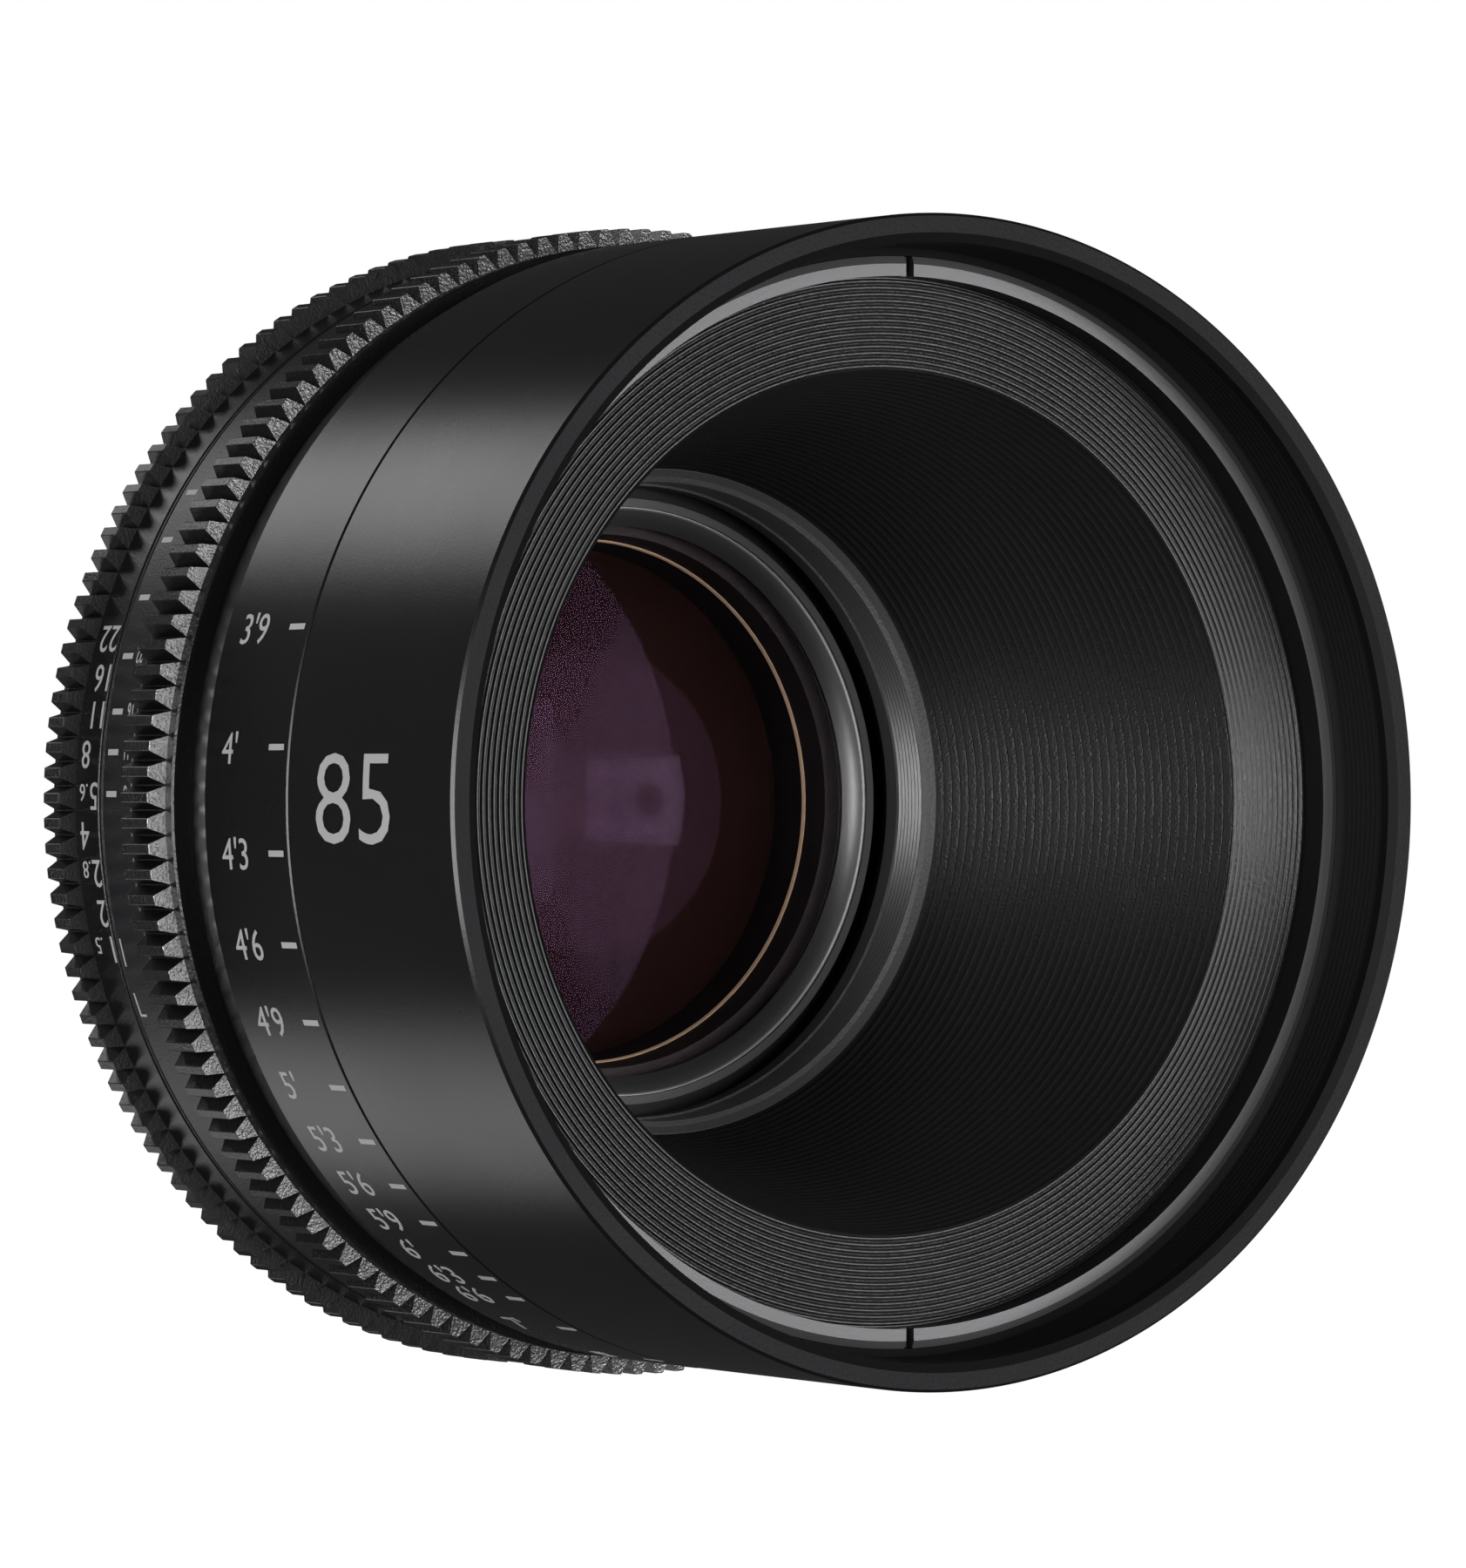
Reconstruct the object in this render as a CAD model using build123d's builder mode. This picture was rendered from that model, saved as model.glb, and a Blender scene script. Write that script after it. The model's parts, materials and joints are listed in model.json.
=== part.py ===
"""Cinema prime lens of the 85 mm class, as separate pieces in one frame.

The origin is the centre of the mount face, +Y runs back through the mount, +Z is up.
A place along the axis is a station: its distance in mm behind the front rim.
Angles are counted from the index line, which is on the -X side, upwards over the top.
"""
import math
import os

from build123d import *

os.makedirs("parts", exist_ok=True)

# Barrel stack, from the front rim to the mount face
front_barrel_length = 29.8
ring_seam = 0.25
focus_scale_length = 22.15
focus_gear_width = 8.0
index_length = 6.4
iris_scale_length = 4.6
iris_gear_width = 4.4
rear_barrel_length = 13.45
shim_thickness = 0.2
mount_thickness = 3.4

# Gears on both rings
gear_module = 0.8

# Fits
running_gap = 0.1
seat_gap = 0.05
over = 1.0

# Glass and tubes inside each other, from the iris opening out to the barrel
stop_radius = 15.5
rear_glass_step = 2.0
last_glass_step = 0.5
third_clear_step = 2.5
third_glass_step = 5.0
second_glass_step = 3.5
front_glass_step = 3.0
cell_wall = 1.8
hub_wall = 2.0
bar_channel = 6.65
carrier_wall = 2.9
sleeve_wall = 3.9
main_wall = 2.0
ring_depth = 8.0

# Motion
focus_near_angle = 48
focus_far_angle = 152
helicoid_lead = 16.2
iris_angle = 36
blade_swing = 35
blade_count = 11

# Stations that follow from the stack
focus_scale_start = front_barrel_length + ring_seam
focus_gear_start = focus_scale_start + focus_scale_length
focus_gear_end = focus_gear_start + focus_gear_width
index_start = focus_gear_end + ring_seam
index_end = index_start + index_length
iris_scale_start = index_end + ring_seam
iris_gear_start = iris_scale_start + iris_scale_length
iris_gear_end = iris_gear_start + iris_gear_width
rear_barrel_start = iris_gear_end + ring_seam
rear_barrel_end = rear_barrel_start + rear_barrel_length
mount_base_start = rear_barrel_end + shim_thickness
mount_face = mount_base_start + mount_thickness

# Radii that follow from the tubes
rear_glass_radius = stop_radius + rear_glass_step
last_glass_radius = rear_glass_radius + last_glass_step
third_clear_radius = stop_radius + third_clear_step
third_glass_radius = third_clear_radius + third_glass_step
second_glass_radius = third_glass_radius + second_glass_step
front_glass_radius = second_glass_radius + front_glass_step
cell_outer = front_glass_radius + cell_wall
hub_bore = cell_outer + seat_gap
hub_outer = hub_bore + hub_wall
carrier_inner = hub_outer + bar_channel
carrier_outer = carrier_inner + carrier_wall
sleeve_inner = carrier_outer + running_gap
sleeve_outer = sleeve_inner + sleeve_wall
main_inner = sleeve_outer + running_gap
main_outer = main_inner + main_wall
barrel_radius = main_outer + ring_depth
ring_bore = main_outer + running_gap
fixed_bore = main_outer + seat_gap

# Focus travel of the optics, forward for near and back for far
focus_forward = helicoid_lead * focus_near_angle / 360
focus_back = helicoid_lead * focus_far_angle / 360

turning = Plane(origin=(0, -mount_face, 0), x_dir=(1, 0, 0), z_dir=(0, 0, 1))


def station(place, turn=0):
    """Plane across the axis at a station: local x is the index side, or turned up from it."""
    side = math.radians(turn)
    return Plane(origin=(0, place - mount_face, 0), x_dir=(-math.cos(side), 0, math.sin(side)), z_dir=(0, 1, 0))


def spoke(place, angle, radius):
    """Plane that faces outwards at a station, angle and radius: local x runs back."""
    side = math.radians(angle)
    outwards = (-math.cos(side), 0, math.sin(side))
    centre = (radius * outwards[0], place - mount_face, radius * outwards[2])
    return Plane(origin=centre, x_dir=(0, 1, 0), z_dir=outwards)


def polar(radius, angle):
    """Point in a cross plane at a radius and an angle."""
    return (radius * math.cos(math.radians(angle)), radius * math.sin(math.radians(angle)))


def turned(point, pivot, angle):
    """Point turned about a pivot in a cross plane."""
    cosine = math.cos(math.radians(angle))
    sine = math.sin(math.radians(angle))
    across = point[0] - pivot[0]
    up = point[1] - pivot[1]
    return (pivot[0] + cosine * across - sine * up, pivot[1] + sine * across + cosine * up)


def sector(inner, outer, start, size, mode=Mode.ADD):
    """Ring sector in the current sketch, from the start angle and upwards."""
    with BuildLine() as edge:
        CenterArc((0, 0), inner, start, size)
        CenterArc((0, 0), outer, start, size)
        Line(polar(inner, start), polar(outer, start))
        Line(polar(inner, start + size), polar(outer, start + size))
    make_face(edge.edges(), mode=mode)


def arc_slot(points, width, mode=Mode.ADD):
    """Round-ended slot along the arc through three points, in the current sketch."""
    with BuildLine() as centre:
        ThreePointArc(*points)
    SlotArc(centre.edge(), width, mode=mode)


def sag(curve, height):
    """Depth of a glass surface at a height: plus where its edge lies behind its centre."""
    return math.copysign(abs(curve) - math.sqrt(curve**2 - height**2), curve)


def half_angle(width, radius):
    """Half of the angle that a width covers at a radius."""
    return math.degrees(math.asin(width / 2 / radius))


# Front barrel sizes
rim_chamfer = 0.3
front_wall = 3.0
rim_bevel = 1.1
mouth_bevel = 0.2
mouth_depth = 0.45
thread_start = 1.3
clamp_step = 0.7
hood_wall = 5.0
web_thickness = 3.8
thread_radius = barrel_radius - front_wall
clamp_bore = thread_radius - clamp_step
hood_bore = barrel_radius - hood_wall
web_front = front_barrel_length - web_thickness

# Slotted ring that clamps the baffle in the front barrel
baffle_front = 10.2
baffle_flange = 2.0
clamp_thickness = 2.9
clamp_width = 1.95
clamp_chamfer_radial = 0.75
clamp_chamfer_depth = 0.3
clamp_slot_width = 4.0
clamp_slot_depth = 1.2
baffle_seat = baffle_front + baffle_flange
clamp_front = baffle_front - clamp_thickness
clamp_outer = clamp_bore - seat_gap
clamp_inner = clamp_outer - clamp_width

with BuildPart() as front_retaining_ring:
    with BuildSketch(turning):
        with BuildLine():
            Polyline(
                (clamp_inner, clamp_front),
                (clamp_outer - clamp_chamfer_radial, clamp_front),
                (clamp_outer, clamp_front + clamp_chamfer_depth),
                (clamp_outer, baffle_front),
                (clamp_inner, baffle_front),
                close=True,
            )
        make_face()
    revolve(axis=Axis.Y)
    with BuildSketch(station(clamp_front)):
        Rectangle(clamp_slot_width, 2 * barrel_radius)
    extrude(amount=clamp_slot_depth, mode=Mode.SUBTRACT)

front_retaining_ring.part.label = "front_retaining_ring"
export_step(front_retaining_ring.part, "parts/front_retaining_ring.step")

# Optics stack, measured from the iris plate: glass, gaps and cells
stop_to_mount = 9.7
stop_station = mount_face - stop_to_mount
hub_to_stop = 3.3
hub_rear = stop_station - hub_to_stop
cement_gap = 0.02
glass_gap = 0.6
third_gap = 1.7
third_to_stop = 9.3
stop_to_fourth = 6.8
front_thickness = 8.0
second_thickness = 7.5
third_thickness = 3.0
fourth_thickness = 1.8
fifth_thickness = 6.5
last_thickness = 5.0
front_curve = 66.0
front_rear_curve = 330.0
second_curve = 42.0
second_rear_curve = 70.0
third_curve = 62.0
third_rear_curve = 34.0
fourth_curve = -38.0
doublet_curve = 90.0
fifth_rear_curve = -44.0
last_curve = 150.0
last_rear_curve = -75.0

third_vertex = stop_station - third_to_stop - third_thickness
second_vertex = third_vertex - third_gap - second_thickness
front_vertex = second_vertex - glass_gap - front_thickness
fourth_vertex = stop_station + stop_to_fourth
fifth_vertex = fourth_vertex + fourth_thickness + cement_gap
last_vertex = fifth_vertex + fifth_thickness + glass_gap


def glass_outline(vertex, thickness, front, rear, rim, rear_clear):
    """Half section of a lens element; its rear face is flat outside a clear radius."""
    back = vertex + thickness
    front_edge = vertex + sag(front, rim)
    rear_edge = back + sag(rear, rear_clear)
    with BuildLine() as outline:
        ThreePointArc((0, vertex), (rim / 2, vertex + sag(front, rim / 2)), (rim, front_edge))
        Line((rim, front_edge), (rim, rear_edge))
        if rim > rear_clear:
            Line((rim, rear_edge), (rear_clear, rear_edge))
        ThreePointArc((rear_clear, rear_edge), (rear_clear / 2, back + sag(rear, rear_clear / 2)), (0, back))
        Line((0, back), (0, vertex))
    make_face(outline.edges())


# Cells: their ends and steps follow from the glass
cell_proud = 0.2
bevel_overlap = 1.0
bevel_lip = 0.1
bevel_depth = 1.55
cell_lip = 1.0
mid_flange = 0.6
mid_step = 3.3
mid_outer = cell_outer - mid_step
bevel_inner = front_glass_radius - bevel_overlap
hub_small_bore = mid_outer + seat_gap
retainer_rear = front_vertex + sag(front_curve, bevel_inner) - cement_gap
retainer_front = retainer_rear - bevel_lip - bevel_depth
cell_front = retainer_front - cell_proud
second_edge = second_vertex + second_thickness + sag(second_rear_curve, second_glass_radius)
cell_lip_start = second_edge + cement_gap
cell_end = cell_lip_start + cell_lip
mid_start = cell_end + seat_gap
hub_step = mid_start + mid_flange

# Places of the parts that reach through the tubes
key_station = focus_gear_start + focus_gear_width / 2
pin_station = iris_gear_start + iris_gear_width / 2
sleeve_length = 20.0
sleeve_front = key_station - sleeve_length / 2
sleeve_end = sleeve_front + sleeve_length
drive_key_length = 4.0
drive_key_width = 6.0
drive_key_reach = 1.5
drive_key_seat = 4.0
drive_key_inner = sleeve_inner + drive_key_reach
drive_key_outer = main_outer + drive_key_seat
drive_key_angle = 40
iris_pin_radius = 1.5
iris_bar_angle = 110
guide_key_length = 7.0
guide_key_width = 6.0
guide_key_reach = 2.5
guide_key_inner = carrier_outer - guide_key_reach
guide_key_angles = (-20, -160)
guide_key_end = rear_barrel_start + guide_key_length / 2
guide_key_start = guide_key_end - guide_key_length
slot_gap = 0.2
slot_margin = 1.5
drive_key_half = half_angle(drive_key_width, main_inner)

# Main barrel: fixed tube that every ring turns on, with slots for the two drives
collar_thickness = 2.0
shoulder_play = 0.3
shoulder_thickness = 2.4
main_seat_length = 4.0
collar_screw_share = 0.34
collar_head_share = 0.48
collar_screw_count = 6
collar_screw_depth = 2.5
collar_head_height = 1.3
collar_radius = hood_bore - running_gap
collar_screw_circle = (main_outer + collar_radius) / 2
collar_screw_radius = collar_screw_share * (collar_radius - main_outer)
collar_head_radius = collar_head_share * (collar_radius - main_outer)
shoulder_inner = sleeve_inner + shoulder_play
main_front = web_front - collar_thickness
main_rear = rear_barrel_start + 2 * main_seat_length
shoulder_rear = sleeve_front - running_gap
pin_slot_half = half_angle(2 * iris_pin_radius, main_inner) + slot_margin

with BuildPart() as main_barrel:
    with BuildSketch(turning):
        with BuildLine():
            Polyline(
                (main_inner, main_front),
                (collar_radius, main_front),
                (collar_radius, web_front),
                (main_outer, web_front),
                (main_outer, main_rear),
                (main_inner, main_rear),
                (main_inner, shoulder_rear),
                (shoulder_inner, shoulder_rear),
                (shoulder_inner, shoulder_rear - shoulder_thickness),
                (main_inner, shoulder_rear - shoulder_thickness),
                close=True,
            )
        make_face()
    revolve(axis=Axis.Y)
    with BuildSketch(station(key_station - drive_key_length / 2 - slot_gap)):
        sector(
            main_inner - over,
            main_outer + over,
            drive_key_angle - focus_near_angle - drive_key_half - slot_margin,
            focus_near_angle + focus_far_angle + 2 * (drive_key_half + slot_margin),
        )
    extrude(amount=drive_key_length + 2 * slot_gap, mode=Mode.SUBTRACT)
    with BuildSketch(station(pin_station - iris_pin_radius - slot_gap)):
        sector(
            main_inner - over,
            main_outer + over,
            iris_bar_angle - iris_angle - pin_slot_half,
            iris_angle + 2 * pin_slot_half,
        )
    extrude(amount=2 * (iris_pin_radius + slot_gap), mode=Mode.SUBTRACT)
    with BuildSketch(station(main_front)):
        with PolarLocations(collar_screw_circle, collar_screw_count):
            Circle(collar_screw_radius + seat_gap)
    extrude(amount=collar_thickness, mode=Mode.SUBTRACT)

main_barrel.part.label = "main_barrel"
export_step(main_barrel.part, "parts/main_barrel.step")

# Screws through the collar into the web of the front barrel
with BuildPart() as front_barrel_screws:
    with BuildSketch(station(main_front - collar_head_height)):
        with PolarLocations(collar_screw_circle, collar_screw_count):
            Circle(collar_head_radius)
    extrude(amount=collar_head_height)
    with BuildSketch(station(main_front)):
        with PolarLocations(collar_screw_circle, collar_screw_count):
            Circle(collar_screw_radius)
    extrude(amount=collar_thickness + collar_screw_depth)

front_barrel_screws.part.label = "front_barrel_screws"
export_step(front_barrel_screws.part, "parts/front_barrel_screws.step")

# Front barrel: hood tube with the filter thread bore and the web that holds the main barrel
with BuildPart() as front_barrel:
    with BuildSketch(turning):
        with BuildLine():
            Polyline(
                (barrel_radius, rim_chamfer),
                (barrel_radius, front_barrel_length),
                (fixed_bore, front_barrel_length),
                (fixed_bore, web_front),
                (hood_bore, web_front),
                (hood_bore, baffle_seat),
                (clamp_bore, baffle_seat),
                (clamp_bore, clamp_front + clamp_chamfer_depth),
                (thread_radius, clamp_front),
                (thread_radius, thread_start),
                (thread_radius + mouth_bevel, mouth_depth),
                (thread_radius + rim_bevel, 0),
                (barrel_radius - rim_chamfer, 0),
                close=True,
            )
        make_face()
    revolve(axis=Axis.Y)
    with BuildSketch(station(web_front)):
        with PolarLocations(collar_screw_circle, collar_screw_count):
            Circle(collar_screw_radius + seat_gap)
    extrude(amount=collar_screw_depth, mode=Mode.SUBTRACT)

front_barrel.part.label = "front_barrel"
export_step(front_barrel.part, "parts/front_barrel.step")

# Cone baffle: flange under the clamp ring and a tapered tube that ends before the glass
dish_depth = 0.4
cone_face_width = 8.95
cone_front_wall = 2.2
cone_step = 1.5
cone_rear_wall = 1.6
cone_grooves = 7
cone_groove_share = 0.4
cone_groove_depth = 0.45
baffle_gap = 1.2
baffle_to_cell = 0.7
baffle_wall = 4.25
baffle_seat_length = 3.2
baffle_lip = 1.9
baffle_step = 0.5
baffle_rib_step = 0.3
baffle_length = 6.9
dish_outer = clamp_inner - seat_gap
cone_front_radius = dish_outer - cone_face_width
baffle_bore = cell_outer + baffle_gap
cone_rear_radius = baffle_bore + cone_step
cone_rear_outer = cone_rear_radius + cone_rear_wall
baffle_end = cell_front - baffle_to_cell
cone_end = baffle_end - baffle_length

cone_start = baffle_front + dish_depth
groove_pitch = (cone_end - cone_start) / cone_grooves


def cone_radius(place):
    """Inner radius of the cone at a station."""
    return cone_front_radius + (cone_rear_radius - cone_front_radius) * (place - cone_start) / (cone_end - cone_start)


with BuildPart() as cone_baffle:
    with BuildSketch(turning):
        with BuildLine():
            Polyline(
                (clamp_outer, baffle_front),
                (clamp_outer, baffle_seat),
                (cone_front_radius + cone_front_wall, baffle_seat),
                (cone_rear_outer + dish_depth, cone_end - baffle_seat_length),
                (cone_rear_outer, cone_end - baffle_seat_length),
                (cone_rear_outer, cone_end),
                (cone_rear_radius, cone_end),
                (cone_front_radius, cone_start),
                (dish_outer, baffle_front),
                close=True,
            )
        make_face()
        for groove in range(cone_grooves):
            middle = cone_start + (groove + 0.5) * groove_pitch
            half = cone_groove_share * groove_pitch / 2
            with BuildLine():
                Polyline(
                    (cone_radius(middle - half) - over, middle - half),
                    (cone_radius(middle - half), middle - half),
                    (cone_radius(middle) + cone_groove_depth, middle),
                    (cone_radius(middle + half), middle + half),
                    (cone_radius(middle + half) - over, middle + half),
                    close=True,
                )
            make_face(mode=Mode.SUBTRACT)
    revolve(axis=Axis.Y)

cone_baffle.part.label = "cone_baffle"
export_step(cone_baffle.part, "parts/cone_baffle.step")

# Rear baffle ring, screwed over the end of the cone
with BuildPart() as rear_baffle_ring:
    with BuildSketch(turning):
        with BuildLine():
            Polyline(
                (cone_rear_radius, cone_end),
                (baffle_bore + baffle_step, cone_end + baffle_step),
                (baffle_bore + baffle_rib_step, baffle_end - baffle_lip),
                (baffle_bore, baffle_end - baffle_lip),
                (baffle_bore, baffle_end),
                (baffle_bore + baffle_wall, baffle_end),
                (baffle_bore + baffle_wall, cone_end - baffle_seat_length + seat_gap),
                (cone_rear_outer + seat_gap, cone_end - baffle_seat_length + seat_gap),
                (cone_rear_outer + seat_gap, cone_end),
                close=True,
            )
        make_face()
    revolve(axis=Axis.Y)

rear_baffle_ring.part.label = "rear_baffle_ring"
export_step(rear_baffle_ring.part, "parts/rear_baffle_ring.step")

# Focus scale ring: front bearing land, hollow behind it, shoulder and neck before the gear
focus_land = 4.0
scale_straight = 15.7
shoulder_drop = 0.9
shoulder_length = 3.8
neck_drop = 1.8
neck_taper = 0.8
ring_wall = 3.8
neck_radius = barrel_radius - neck_drop
ring_hollow = barrel_radius - ring_wall
shoulder_start = focus_scale_start + scale_straight
neck_start = shoulder_start + shoulder_length

with BuildPart() as focus_scale_ring:
    with BuildSketch(turning):
        with BuildLine():
            Polyline(
                (barrel_radius, focus_scale_start),
                (barrel_radius, shoulder_start),
                (barrel_radius - shoulder_drop, neck_start),
                (neck_radius, neck_start + neck_taper),
                (neck_radius, focus_gear_start),
                (ring_hollow, focus_gear_start),
                (ring_hollow, focus_scale_start + focus_land),
                (ring_bore, focus_scale_start + focus_land),
                (ring_bore, focus_scale_start),
                close=True,
            )
        make_face()
    revolve(axis=Axis.Y)

focus_scale_ring.part.label = "focus_scale_ring"
export_step(focus_scale_ring.part, "parts/focus_scale_ring.step")

# Gear teeth: pointed gaps and flat tips, as a follow focus gear has
tooth_tip_share = 1.19
tooth_gap_share = 0.375
dedendum_share = 1.25
gear_teeth = round(2 * (barrel_radius / gear_module + dedendum_share))
gear_pitch_radius = gear_module * gear_teeth / 2
gear_tip_radius = gear_pitch_radius + gear_module
gear_root_radius = gear_pitch_radius - dedendum_share * gear_module
tip_half = half_angle(tooth_tip_share * gear_module, gear_tip_radius)
gap_half = half_angle(tooth_gap_share * gear_module, gear_root_radius)


def gear_outline(first_tooth):
    """Closed outline of every tooth, with the first one at the given angle."""
    pitch_angle = 360 / gear_teeth
    corners = []
    for tooth in range(gear_teeth):
        middle = first_tooth + tooth * pitch_angle
        corners.append(polar(gear_root_radius, middle - pitch_angle / 2 + gap_half))
        corners.append(polar(gear_tip_radius, middle - tip_half))
        corners.append(polar(gear_tip_radius, middle + tip_half))
        corners.append(polar(gear_root_radius, middle + pitch_angle / 2 - gap_half))
    with BuildLine() as outline:
        Polyline(*corners, close=True)
    make_face(outline.edges())


# Focus gear ring: teeth with bevelled ends, a spigot in the scale ring and a key pocket
focus_first_tooth = 0.46
flange_thickness = 1.3
focus_bevel_front = 0.5
focus_bevel_rear = 0.9
spigot_length = 4.0
spigot_wall = 2.4
focus_teeth_start = focus_gear_start + flange_thickness
gear_height = gear_tip_radius - gear_root_radius

with BuildPart() as focus_gear_ring:
    with BuildSketch(station(focus_teeth_start)):
        gear_outline(focus_first_tooth)
        Circle(ring_bore, mode=Mode.SUBTRACT)
    extrude(amount=focus_gear_end - focus_teeth_start)
    with BuildSketch(turning):
        with BuildLine():
            Polyline(
                (ring_bore - over, focus_teeth_start),
                (gear_root_radius, focus_teeth_start),
                (gear_tip_radius + gear_height, focus_teeth_start + 2 * focus_bevel_front),
                (gear_tip_radius + gear_height, focus_gear_end - 2 * focus_bevel_rear),
                (gear_root_radius, focus_gear_end),
                (ring_bore - over, focus_gear_end),
                close=True,
            )
        make_face()
    revolve(axis=Axis.Y, mode=Mode.INTERSECT)
    with BuildSketch(turning):
        with BuildLine():
            Polyline(
                (ring_bore, focus_gear_start),
                (ring_hollow - seat_gap - spigot_wall, focus_gear_start),
                (ring_hollow - seat_gap - spigot_wall, focus_gear_start - spigot_length),
                (ring_hollow - seat_gap, focus_gear_start - spigot_length),
                (ring_hollow - seat_gap, focus_gear_start),
                (gear_root_radius, focus_gear_start),
                (gear_root_radius, focus_teeth_start),
                (ring_bore, focus_teeth_start),
                close=True,
            )
        make_face()
    revolve(axis=Axis.Y)
    with BuildSketch(station(key_station - drive_key_length / 2 - seat_gap)):
        sector(
            ring_bore - over,
            drive_key_outer + seat_gap,
            drive_key_angle - drive_key_half - seat_gap,
            2 * (drive_key_half + seat_gap),
        )
    extrude(amount=drive_key_length + 2 * seat_gap, mode=Mode.SUBTRACT)

focus_gear_ring.part.label = "focus_gear_ring"
export_step(focus_gear_ring.part, "parts/focus_gear_ring.step")

# Drive key: joins the focus gear ring and the helicoid sleeve through the main barrel
with BuildPart() as focus_drive_key:
    with BuildSketch(station(key_station - drive_key_length / 2)):
        sector(drive_key_inner, drive_key_outer, drive_key_angle - drive_key_half, 2 * drive_key_half)
    extrude(amount=drive_key_length)

focus_drive_key.part.label = "focus_drive_key"
export_step(focus_drive_key.part, "parts/focus_drive_key.step")

# Helicoid sleeve: turns in the main barrel and screws the carrier along
with BuildPart() as helicoid_sleeve:
    with BuildSketch(station(sleeve_front)):
        Circle(sleeve_outer)
        Circle(sleeve_inner, mode=Mode.SUBTRACT)
    extrude(amount=sleeve_length)
    with BuildSketch(station(key_station - drive_key_length / 2 - seat_gap)):
        sector(
            drive_key_inner - seat_gap,
            sleeve_outer + over,
            drive_key_angle - drive_key_half - seat_gap,
            2 * (drive_key_half + seat_gap),
        )
    extrude(amount=drive_key_length + 2 * seat_gap, mode=Mode.SUBTRACT)

helicoid_sleeve.part.label = "helicoid_sleeve"
export_step(helicoid_sleeve.part, "parts/helicoid_sleeve.step")

# Ring screwed into the main barrel that keeps the sleeve from moving back
helicoid_retainer_length = 2.4

with BuildPart() as helicoid_retainer:
    with BuildSketch(station(sleeve_end + running_gap)):
        Circle(main_inner - seat_gap)
        Circle(shoulder_inner, mode=Mode.SUBTRACT)
    extrude(amount=helicoid_retainer_length)

helicoid_retainer.part.label = "helicoid_retainer"
export_step(helicoid_retainer.part, "parts/helicoid_retainer.step")

# Carrier: sliding tube with guide slots, a window for the iris pin and a hub for the cells
carrier_lead = 4.0
front_web_thickness = 2.0
bar_inner_gap = 0.85
bar_outer_gap = 1.2
bar_width = 8.0
bar_inner = hub_outer + bar_inner_gap
bar_outer = carrier_inner - bar_outer_gap
carrier_front = sleeve_front + carrier_lead
hub_front = cell_front + baffle_to_cell + front_web_thickness
bar_half = half_angle(bar_width, bar_inner) + slot_margin
window_half = half_angle(2 * iris_pin_radius, carrier_inner) + 2 * slot_margin
window_start = pin_station - focus_back - iris_pin_radius - slot_gap
window_end = pin_station + focus_forward + iris_pin_radius + slot_gap
guide_slot_start = guide_key_start - focus_back - slot_gap
guide_half = half_angle(guide_key_width, guide_key_inner)

with BuildPart() as carrier:
    with BuildSketch(turning):
        with BuildLine():
            Polyline(
                (carrier_inner, carrier_front),
                (carrier_outer, carrier_front),
                (carrier_outer, hub_rear),
                (hub_small_bore, hub_rear),
                (hub_small_bore, hub_step),
                (hub_bore, hub_step),
                (hub_bore, hub_front),
                (carrier_inner, hub_front),
                close=True,
            )
        make_face()
        with BuildLine():
            Polyline(
                (hub_outer, hub_front + front_web_thickness),
                (carrier_inner, hub_front + front_web_thickness),
                (carrier_inner, window_end),
                (hub_outer, window_end),
                close=True,
            )
        make_face(mode=Mode.SUBTRACT)
    revolve(axis=Axis.Y)
    with BuildSketch(station(window_end)):
        sector(
            bar_inner - slot_gap,
            bar_outer + 2 * slot_gap,
            iris_bar_angle - iris_angle - bar_half,
            iris_angle + 2 * bar_half,
        )
    extrude(amount=hub_rear - window_end, mode=Mode.SUBTRACT)
    with BuildSketch(station(window_start)):
        sector(
            carrier_inner - slot_gap,
            carrier_outer + over,
            iris_bar_angle - iris_angle - window_half,
            iris_angle + 2 * window_half,
        )
    extrude(amount=window_end - window_start, mode=Mode.SUBTRACT)
    with BuildSketch(station(guide_slot_start)):
        for angle in guide_key_angles:
            sector(
                guide_key_inner - slot_gap,
                carrier_outer + over,
                angle - guide_half - slot_gap,
                2 * (guide_half + slot_gap),
            )
    extrude(amount=hub_rear - guide_slot_start, mode=Mode.SUBTRACT)

carrier.part.label = "carrier"
export_step(carrier.part, "parts/carrier.step")

# Guide keys fixed in the main barrel, which keep the carrier from turning
with BuildPart() as guide_keys:
    with BuildSketch(station(guide_key_start)):
        for angle in guide_key_angles:
            sector(guide_key_inner, main_inner - seat_gap, angle - guide_half, 2 * guide_half)
    extrude(amount=guide_key_length)

guide_keys.part.label = "guide_keys"
export_step(guide_keys.part, "parts/guide_keys.step")

# Front cell, which holds the two large elements
retainer_wall = 1.9
spacer_wall = 3.5
retainer_outer = bevel_inner + retainer_wall
front_edge = front_vertex + sag(front_curve, front_glass_radius)
front_rear_edge = front_vertex + front_thickness + sag(front_rear_curve, front_glass_radius)
spacer_inner = front_glass_radius - spacer_wall
spacer_end = second_vertex + sag(second_curve, spacer_inner) - cement_gap
second_bore_start = spacer_end + seat_gap
lip_inner = second_glass_radius - cell_lip

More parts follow.
